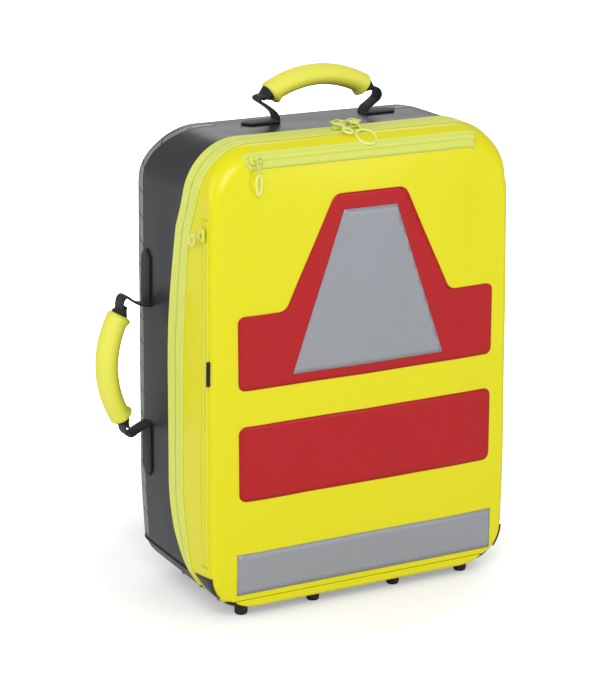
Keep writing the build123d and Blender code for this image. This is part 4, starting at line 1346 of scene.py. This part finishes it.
def build_back():
    """Back pads, yoke, shoulder straps and sternum strap."""
    for name, node_name in (("upper_back_cushion", "upper_back_pad"), ("lumbar_cushion", "lumbar_pad")):
        piece = puffed(name, node_name, cap=3.5)
        keep_off_back(piece, 1.4)
        finish(piece, "pack_body", "mesh", "pad_mesh", node_name)
    # Sewn yoke
    place = ((0, BACK_Y + 1.6, 486), (1, 0, 0), (0, 1, 0))
    yoke = slab("strap_yoke", rounded_outline(170, 40, 10), 0, 4.0, place, 1.2)
    finish(yoke, "pack_body", "shell", "shell_tarpaulin", "shoulder_yoke")
    x = np.linspace(-78, 78, 30)
    rows = [np.stack([x, np.full(30, BACK_Y + 5.8), np.full(30, z)], -1) for z in (471.0, 501.0)]
    finish(
        repeat("yoke_stitches", rows, [np.array([0, 1.0, 0])] * 2, 4.0, (2.8, 0.8, 0.6), "thread_dark"),
        "pack_body", None, "webbing"
    )
    for side, label in ((-1, "left"), (1, "right")):
        build_strap(side, label)
    build_sternum()


def strap_line(count=90):
    """Height and depth of the middle of a shoulder strap."""
    chord, bow = 151.0, 34.0
    radius = (chord**2 + bow**2) / (2 * bow)
    z = np.linspace(478, 176, count)
    y = BACK_Y + 11.3 + bow - radius + np.sqrt(radius**2 - (z - 327) ** 2)
    return z, y


def build_strap(side, label):
    """One shoulder strap: pad, bindings, stitches, webbing, ladder lock and lower anchor."""
    z, y = strap_line()
    t = (478 - z) / 302
    x = side * np.interp(
        t, np.linspace(0, 1, 50),
        curve_points([(50, 0, 0), (58, 0.5, 0), (76, 1, 0), (97, 1.5, 0), (112, 2, 0)], 50)[:, 0]
    )
    line = np.stack([x, y, z], -1)
    across, up = directions(line, [1.0, 0, 0])
    up = np.where(up[:, 1:2] < 0, -up, up)
    body = ribbon(f"shoulder_strap_pad_{label}", line, across, up, 57.0, 10.0, 0.25)
    clean(body, 0.001)
    soften(body)
    finish(body, "pack_body", "mesh", "pad_mesh", f"shoulder_strap_{label}")
    edges = []
    for off in (-1, 1):
        edge = line + across * (off * 28.6)
        edges.append(ribbon("binding", edge, across, up, 5.0, 11.0, 0.3))
    finish(join(f"shoulder_strap_binding_{label}", edges), "pack_body", "binding", "webbing")
    rows = [line + across * off + up * 6.0 for off in (-24.0, 24.0)]
    finish(
        repeat(f"shoulder_strap_stitches_{label}", rows, [up, up], 4.0, (2.8, 0.8, 0.7), "thread_dark"),
        "pack_body", None, "webbing",
    )
    middle = line + up * 6.2
    web = ribbon(f"shoulder_strap_webbing_{label}", middle[4:80], across[4:80], up[4:80], 25.0, 1.8, 0.1)
    finish(web, "pack_body", "webbing", "webbing")
    # Lower webbing, its ladder lock and anchor
    low = curve_points(
        [
            (side * 112, 112.6, 172), (side * 112, 112.9, 150), (side * 112, 112.4, 122),
            (side * 112, 108.5, 92), (side * 112, 104.2, 62)
        ],
        50
    )
    a, u = directions(low, [1.0, 0, 0])
    web = ribbon(f"lower_webbing_{label}", low, a, u, 24.5, 1.8, 0.1)
    finish(web, "pack_body", "webbing", "webbing", f"strap_webbing_{label}")
    place = ((side * 112, 113.0, 150), (1, 0, 0), (0, 1, 0))
    frame_of = []
    for zc, h in ((-13.2, 5.4), (0, 4.6), (13.2, 5.4)):
        frame_of.append(
            slab(
                "bar", [(p[0], p[1] + zc) for p in rounded_outline(36, h, 2.2)], 1.3 if zc else 1.2, 3.6,
                place, 0.8
            )
        )
    for xc in (-15.6, 15.6):
        frame_of.append(
            slab("side", [(p[0] + xc, p[1]) for p in rounded_outline(4.8, 32, 2.2)], -3.4, 3.4, place, 0.8)
        )
    finish(
        join(f"ladder_lock_{label}_frame", frame_of), "pack_body", "plastic", "buckle_plastic",
        f"ladder_lock_{label}"
    )
    place = ((side * 112, BACK_Y + 0.9, 62), (1, 0, 0), (0, 1, 0))
    tab = slab(f"lower_tab_{label}", rounded_outline(33, 26, 2.0), 0.2, 1.4, place, 0.4)
    finish(tab, "pack_body", "webbing", "webbing", f"lower_anchor_{label}")
    box = [
        np.stack([np.linspace(-10, 10, 8) + side * 112, np.full(8, BACK_Y + 2.6), np.full(8, 62.0 + dz)], -1)
        for dz in (-9, 9)
    ]
    finish(
        repeat(
            f"lower_tab_stitches_{label}", box, [np.array([0, 1.0, 0])] * 2, 3.4, (2.4, 0.8, 0.6),
            "thread_dark"
        ),
        "pack_body", None, "webbing"
    )


def build_sternum():
    """Sternum strap: webbing, keepers and side-release buckle in its two halves."""
    middle = (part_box("sternum_webbing_right")[0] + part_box("sternum_webbing_right")[1]) / 2
    y = (middle.y - CENTRE.y) / MM
    z = middle.z / MM
    for label, body, x0, x1 in (("right", "pack_body", 30.0, 88.0), ("left", "sternum_plug", -12.0, -88.0)):
        x = np.linspace(x0, x1, 24)
        line = np.stack([x, np.full(24, y), np.full(24, z)], -1)
        a, u = directions(line, [0, 0, 1.0])
        web = ribbon(f"sternum_strap_{label}", line, a, u, 19.6, 1.7, 0.1)
        finish(web, body, "webbing", "webbing", f"sternum_webbing_{label}")
    for label in ("left", "right"):
        paint(NODES[f"sternum_keeper_{label}"], "plastic")
    place = ((17.0, y, z), (1, 0, 0), (0, 1, 0))
    shell = []
    outline_of = [
        (-14, -12.5), (-14, 12.5), (-10, 15), (3, 14), (11, 12), (14, 9), (14, -9), (11, -12), (3, -14),
        (-10, -15)
    ]
    for low, high in ((-4.4, -2.5), (2.5, 4.4)):
        shell.append(slab("wall", outline_of, low, high, place, 0.6))
    for side in (-1, 1):
        shell.append(
            slab(
                "rail",
                [
                    (-13, side * 14.4), (-13, side * 10.8), (4, side * 10.8), (9, side * 8), (13, side * 8),
                    (10, side * 12), (3, side * 13.8)
                ],
                -2.6, 2.6, place, 0.3
            )
        )
    finish(join("buckle_socket", shell), "pack_body", "plastic", "buckle_plastic", "sternum_buckle_body")
    place = ((-4.9, y, z), (1, 0, 0), (0, 1, 0))
    parts = [slab("stem", rounded_outline(14.4, 29, 3.4, waist=0.1), -4.2, 4.2, place, 1.0)]
    for side in (-1, 1):
        prong = [
            (7, side * 9.6), (7, side * 7.0), (19, side * 6.4), (25, side * 7.2), (25, side * 9.4),
            (18, side * 9.8)
        ]
        parts.append(slab("prong", prong, -1.8, 1.8, place, 0.4))
    parts.append(slab("guide", [(7, -1.6), (7, 1.6), (24, 1.4), (24, -1.4)], -1.8, 1.8, place, 0.4))
    finish(join("buckle_prongs", parts), "sternum_plug", "plastic", "buckle_plastic", "sternum_buckle_plug")


def build_inside():
    """Dividers, the lid pockets, the board and the inner panel."""
    for name, node_name in (
        ("lower_shelf_cushion", "divider_shelf_lower"),
        ("upper_shelf_cushion", "divider_shelf_upper"),
        ("upright_cushion", "divider_upright"),
    ):
        data = NODES[node_name].data.copy()
        piece = bpy.data.objects.new(name, data)
        bpy.context.scene.collection.objects.link(piece)
        clean(piece, 0.01)
        bevelled(piece, 2.4, 3, 40)
        shade(piece)
        finish(piece, "pack_body", "lining", "lining", node_name)
    for node_name, key in (("back_board", "board"), ("lid_inner_panel", "lining")):
        paint(NODES[node_name], key)
    data = NODES["lid_pockets"].data.copy()
    piece = bpy.data.objects.new("lid_pocket_bags", data)
    bpy.context.scene.collection.objects.link(piece)
    clean(piece, 0.01)
    bevelled(piece, 2.2, 3, 40)
    shade(piece)
    finish(piece, "lid", "mesh", "lining", "lid_pockets")


# Stage


def lamp(name, kind, place, target, size, power, colour=(1, 1, 1)):
    """A lamp at a place, turned to its target."""
    data = bpy.data.lights.new(name, kind)
    data.energy = power
    data.color = colour
    if kind == "AREA":
        data.shape, data.size, data.size_y = "RECTANGLE", size[0], size[1]
    made = bpy.data.objects.new(name, data)
    made.location = place
    made.rotation_euler = (Vector(target) - Vector(place)).to_track_quat("-Z", "Y").to_euler()
    bpy.context.scene.collection.objects.link(made)


def build_stage():
    """Floor, lamps, world and camera."""
    look = bpy.context.scene.backpack_look
    scene = bpy.context.scene
    scene.view_settings.view_transform = "Standard"
    world = bpy.data.worlds.new("Studio")
    world.use_nodes = True
    tree = world.node_tree
    tree.nodes.clear()
    ways = node(tree, "ShaderNodeLightPath")
    one = node(
        tree, "ShaderNodeMath", {"operation": "MAXIMUM"},
        {0: (ways, "Is Camera Ray"), 1: (ways, "Is Transmission Ray")}
    )
    seen = node(tree, "ShaderNodeBackground", {"Color": (1, 1, 1, 1), "Strength": 1.0})
    glossy = node(tree, "ShaderNodeBackground", {"Color": (1, 1, 1, 1), "Strength": look.reflection})
    soft = node(tree, "ShaderNodeBackground", {"Color": (1, 1, 1, 1), "Strength": look.ambient})
    mirror = node(
        tree, "ShaderNodeMixShader", {},
        {0: (ways, "Is Glossy Ray"), 1: (soft, "Background"), 2: (glossy, "Background")}
    )
    both = node(tree, "ShaderNodeMixShader", {}, {0: (one, 0), 1: (mirror, 0), 2: (seen, "Background")})
    node(tree, "ShaderNodeOutputWorld", {}, {"Surface": (both, 0)})
    scene.world = world

    floor_mesh = bpy.data.meshes.new("floor")
    reach = 6.0
    floor_mesh.from_pydata(
        [(-reach, -reach, 0), (reach, -reach, 0), (reach, reach, 0), (-reach, reach, 0)], [], [(0, 1, 2, 3)]
    )
    floor = bpy.data.objects.new("floor", floor_mesh)
    scene.collection.objects.link(floor)
    paper = bpy.data.materials.new("pale paper")
    paper.use_nodes = True
    tree = paper.node_tree
    shader = tree.nodes["Principled BSDF"]
    shader.inputs["Base Color"].default_value = (0.86, 0.86, 0.86, 1)
    shader.inputs["Roughness"].default_value = 0.9
    ways = node(tree, "ShaderNodeLightPath")
    seen = node(
        tree, "ShaderNodeMath", {"operation": "MULTIPLY", 1: look.floor_glow}, {0: (ways, "Is Camera Ray")}
    )
    place = node(tree, "ShaderNodeTexCoord")
    far = node(tree, "ShaderNodeVectorMath", {"operation": "LENGTH"}, {0: (place, "Object")})
    grow = node(
        tree, "ShaderNodeMapRange", {"From Min": 0.22, "From Max": 0.75, "To Min": 1.0, "To Max": 5.0},
        {"Value": (far, "Value")}
    )
    glow = node(tree, "ShaderNodeMath", {"operation": "MULTIPLY"}, {0: (seen, 0), 1: (grow, "Result")})
    tree.links.new(glow.outputs[0], shader.inputs["Emission Strength"])
    shader.inputs["Emission Color"].default_value = (1, 1, 1, 1)
    floor.data.materials.append(paper)

    middle = Vector((CENTRE.x, CENTRE.y, 0.3))
    lamp("key", "AREA", middle + Vector((-1.3, -2.2, 1.9)), middle, (1.5, 1.5), look.key)
    lamp("front band", "AREA", middle + Vector((1.1, -2.4, 0.8)), middle, (0.5, 1.8), look.band)
    lamp("side fill", "AREA", middle + Vector((-2.6, 0.6, 1.0)), middle, (1.2, 1.6), look.side)
    lamp("back fill", "AREA", middle + Vector((1.2, 2.6, 1.6)), middle, (1.6, 1.6), look.back)

    camera_data = bpy.data.cameras.new("camera")
    camera_data.lens, camera_data.sensor_width = 121.28, 36.0
    camera_data.clip_end = 50.0
    camera = bpy.data.objects.new("camera", camera_data)
    backward = Vector((-0.4493, -0.8494, 0.2770)).normalized()
    target = Vector((-0.0814, -0.102, 0.3129)) + Vector((CENTRE.x, CENTRE.y, 0))
    camera.location = target + backward * 2.6549
    camera.rotation_mode = "QUATERNION"
    camera.rotation_quaternion = (-backward).to_track_quat("-Z", "Y")
    scene.collection.objects.link(camera)
    scene.camera = camera


# Add-on


class BackpackLook(bpy.types.PropertyGroup):
    lid_colour: FloatVectorProperty(
        name="Lid colour", description="Colour of the front half, as shown", subtype="COLOR_GAMMA", size=3,
        min=0.0, max=1.0, default=(0.905, 0.88, 0.0),
    )
    field_colour: FloatVectorProperty(
        name="Field colour", description="Colour of the foil fields, as shown", subtype="COLOR_GAMMA", size=3,
        min=0.0, max=1.0, default=(0.72, 0.06, 0.09),
    )
    key: FloatProperty(
        name="Key light", description="Power of the large soft lamp", default=38.0, unit="POWER"
    )
    band: FloatProperty(
        name="Band light", description="Power of the narrow front lamp", default=10.0, unit="POWER"
    )
    side: FloatProperty(
        name="Side light", description="Power of the lamp on the left", default=14.0, unit="POWER"
    )
    back: FloatProperty(name="Back light", description="Power of the lamp behind", default=12.0, unit="POWER")
    ambient: FloatProperty(
        name="Ambient", description="Strength of the surrounding light", default=0.55, min=0.0
    )
    reflection: FloatProperty(
        name="Reflection", description="Brightness of the surroundings in gloss", default=0.35, min=0.0
    )
    floor_glow: FloatProperty(
        name="Floor white", description="Added brightness of the floor as seen", default=0.3, min=0.0
    )


STEPS = (
    ("shell", "Shell", build_shell, "Back half of the bag with its seams"),
    ("segments", "Reflective segments", build_segments, "Segmented strips on the side walls"),
    ("lid", "Lid", build_lid, "Front half of the bag with its welds and tab"),
    ("fields", "Front fields", build_front_fields, "Red and reflective fields on the front"),
    ("zips", "Zips", build_zips, "Main and pocket zips with their coils"),
    ("sliders", "Sliders and pulls", build_sliders, "Zip sliders, cords and rings"),
    ("handles", "Handles", build_handles, "Grips, webbing legs and press stud"),
    ("feet", "Feet", build_feet, "Rubber feet"),
    ("back", "Harness", build_back, "Pads, shoulder straps and buckles on the back"),
    ("inside", "Inside", build_inside, "Dividers, board, inner panel and pockets"),
    ("stage", "Stage", build_stage, "Floor, lamps and camera"),
)


def operator_class(key, label, work, words):
    """An operator that builds one group of pieces."""

    def execute(self, context):
        work()
        return {"FINISHED"}

    return type(
        f"BACKPACK_OT_{key}", (bpy.types.Operator,),
        {"bl_idname": f"backpack.{key}", "bl_label": label, "__doc__": words, "execute": execute},
    )


class BACKPACK_PT_panel(bpy.types.Panel):
    """Lists the pieces of the backpack"""

    bl_label = "Trauma backpack"
    bl_space_type = "VIEW_3D"
    bl_region_type = "UI"
    bl_category = "Backpack"

    def draw(self, context):
        for prop in BackpackLook.__annotations__:
            self.layout.prop(context.scene.backpack_look, prop)
        for key, *_ in STEPS:
            self.layout.operator(f"backpack.{key}")


CLASSES = [BackpackLook, *[operator_class(*step) for step in STEPS], BACKPACK_PT_panel]


def register():
    """Adds the panel and its operators."""
    for item in CLASSES:
        bpy.utils.register_class(item)
    bpy.types.Scene.backpack_look = PointerProperty(type=BackpackLook)


def unregister():
    """Takes them away again."""
    del bpy.types.Scene.backpack_look
    for item in reversed(CLASSES):
        bpy.utils.unregister_class(item)


def main():
    """Builds every group of pieces, then writes the sizes."""
    register()
    make_materials(bpy.context.scene.backpack_look)
    for key, *_ in STEPS:
        getattr(bpy.ops.backpack, key)()


if __name__ == "__main__":
    main()
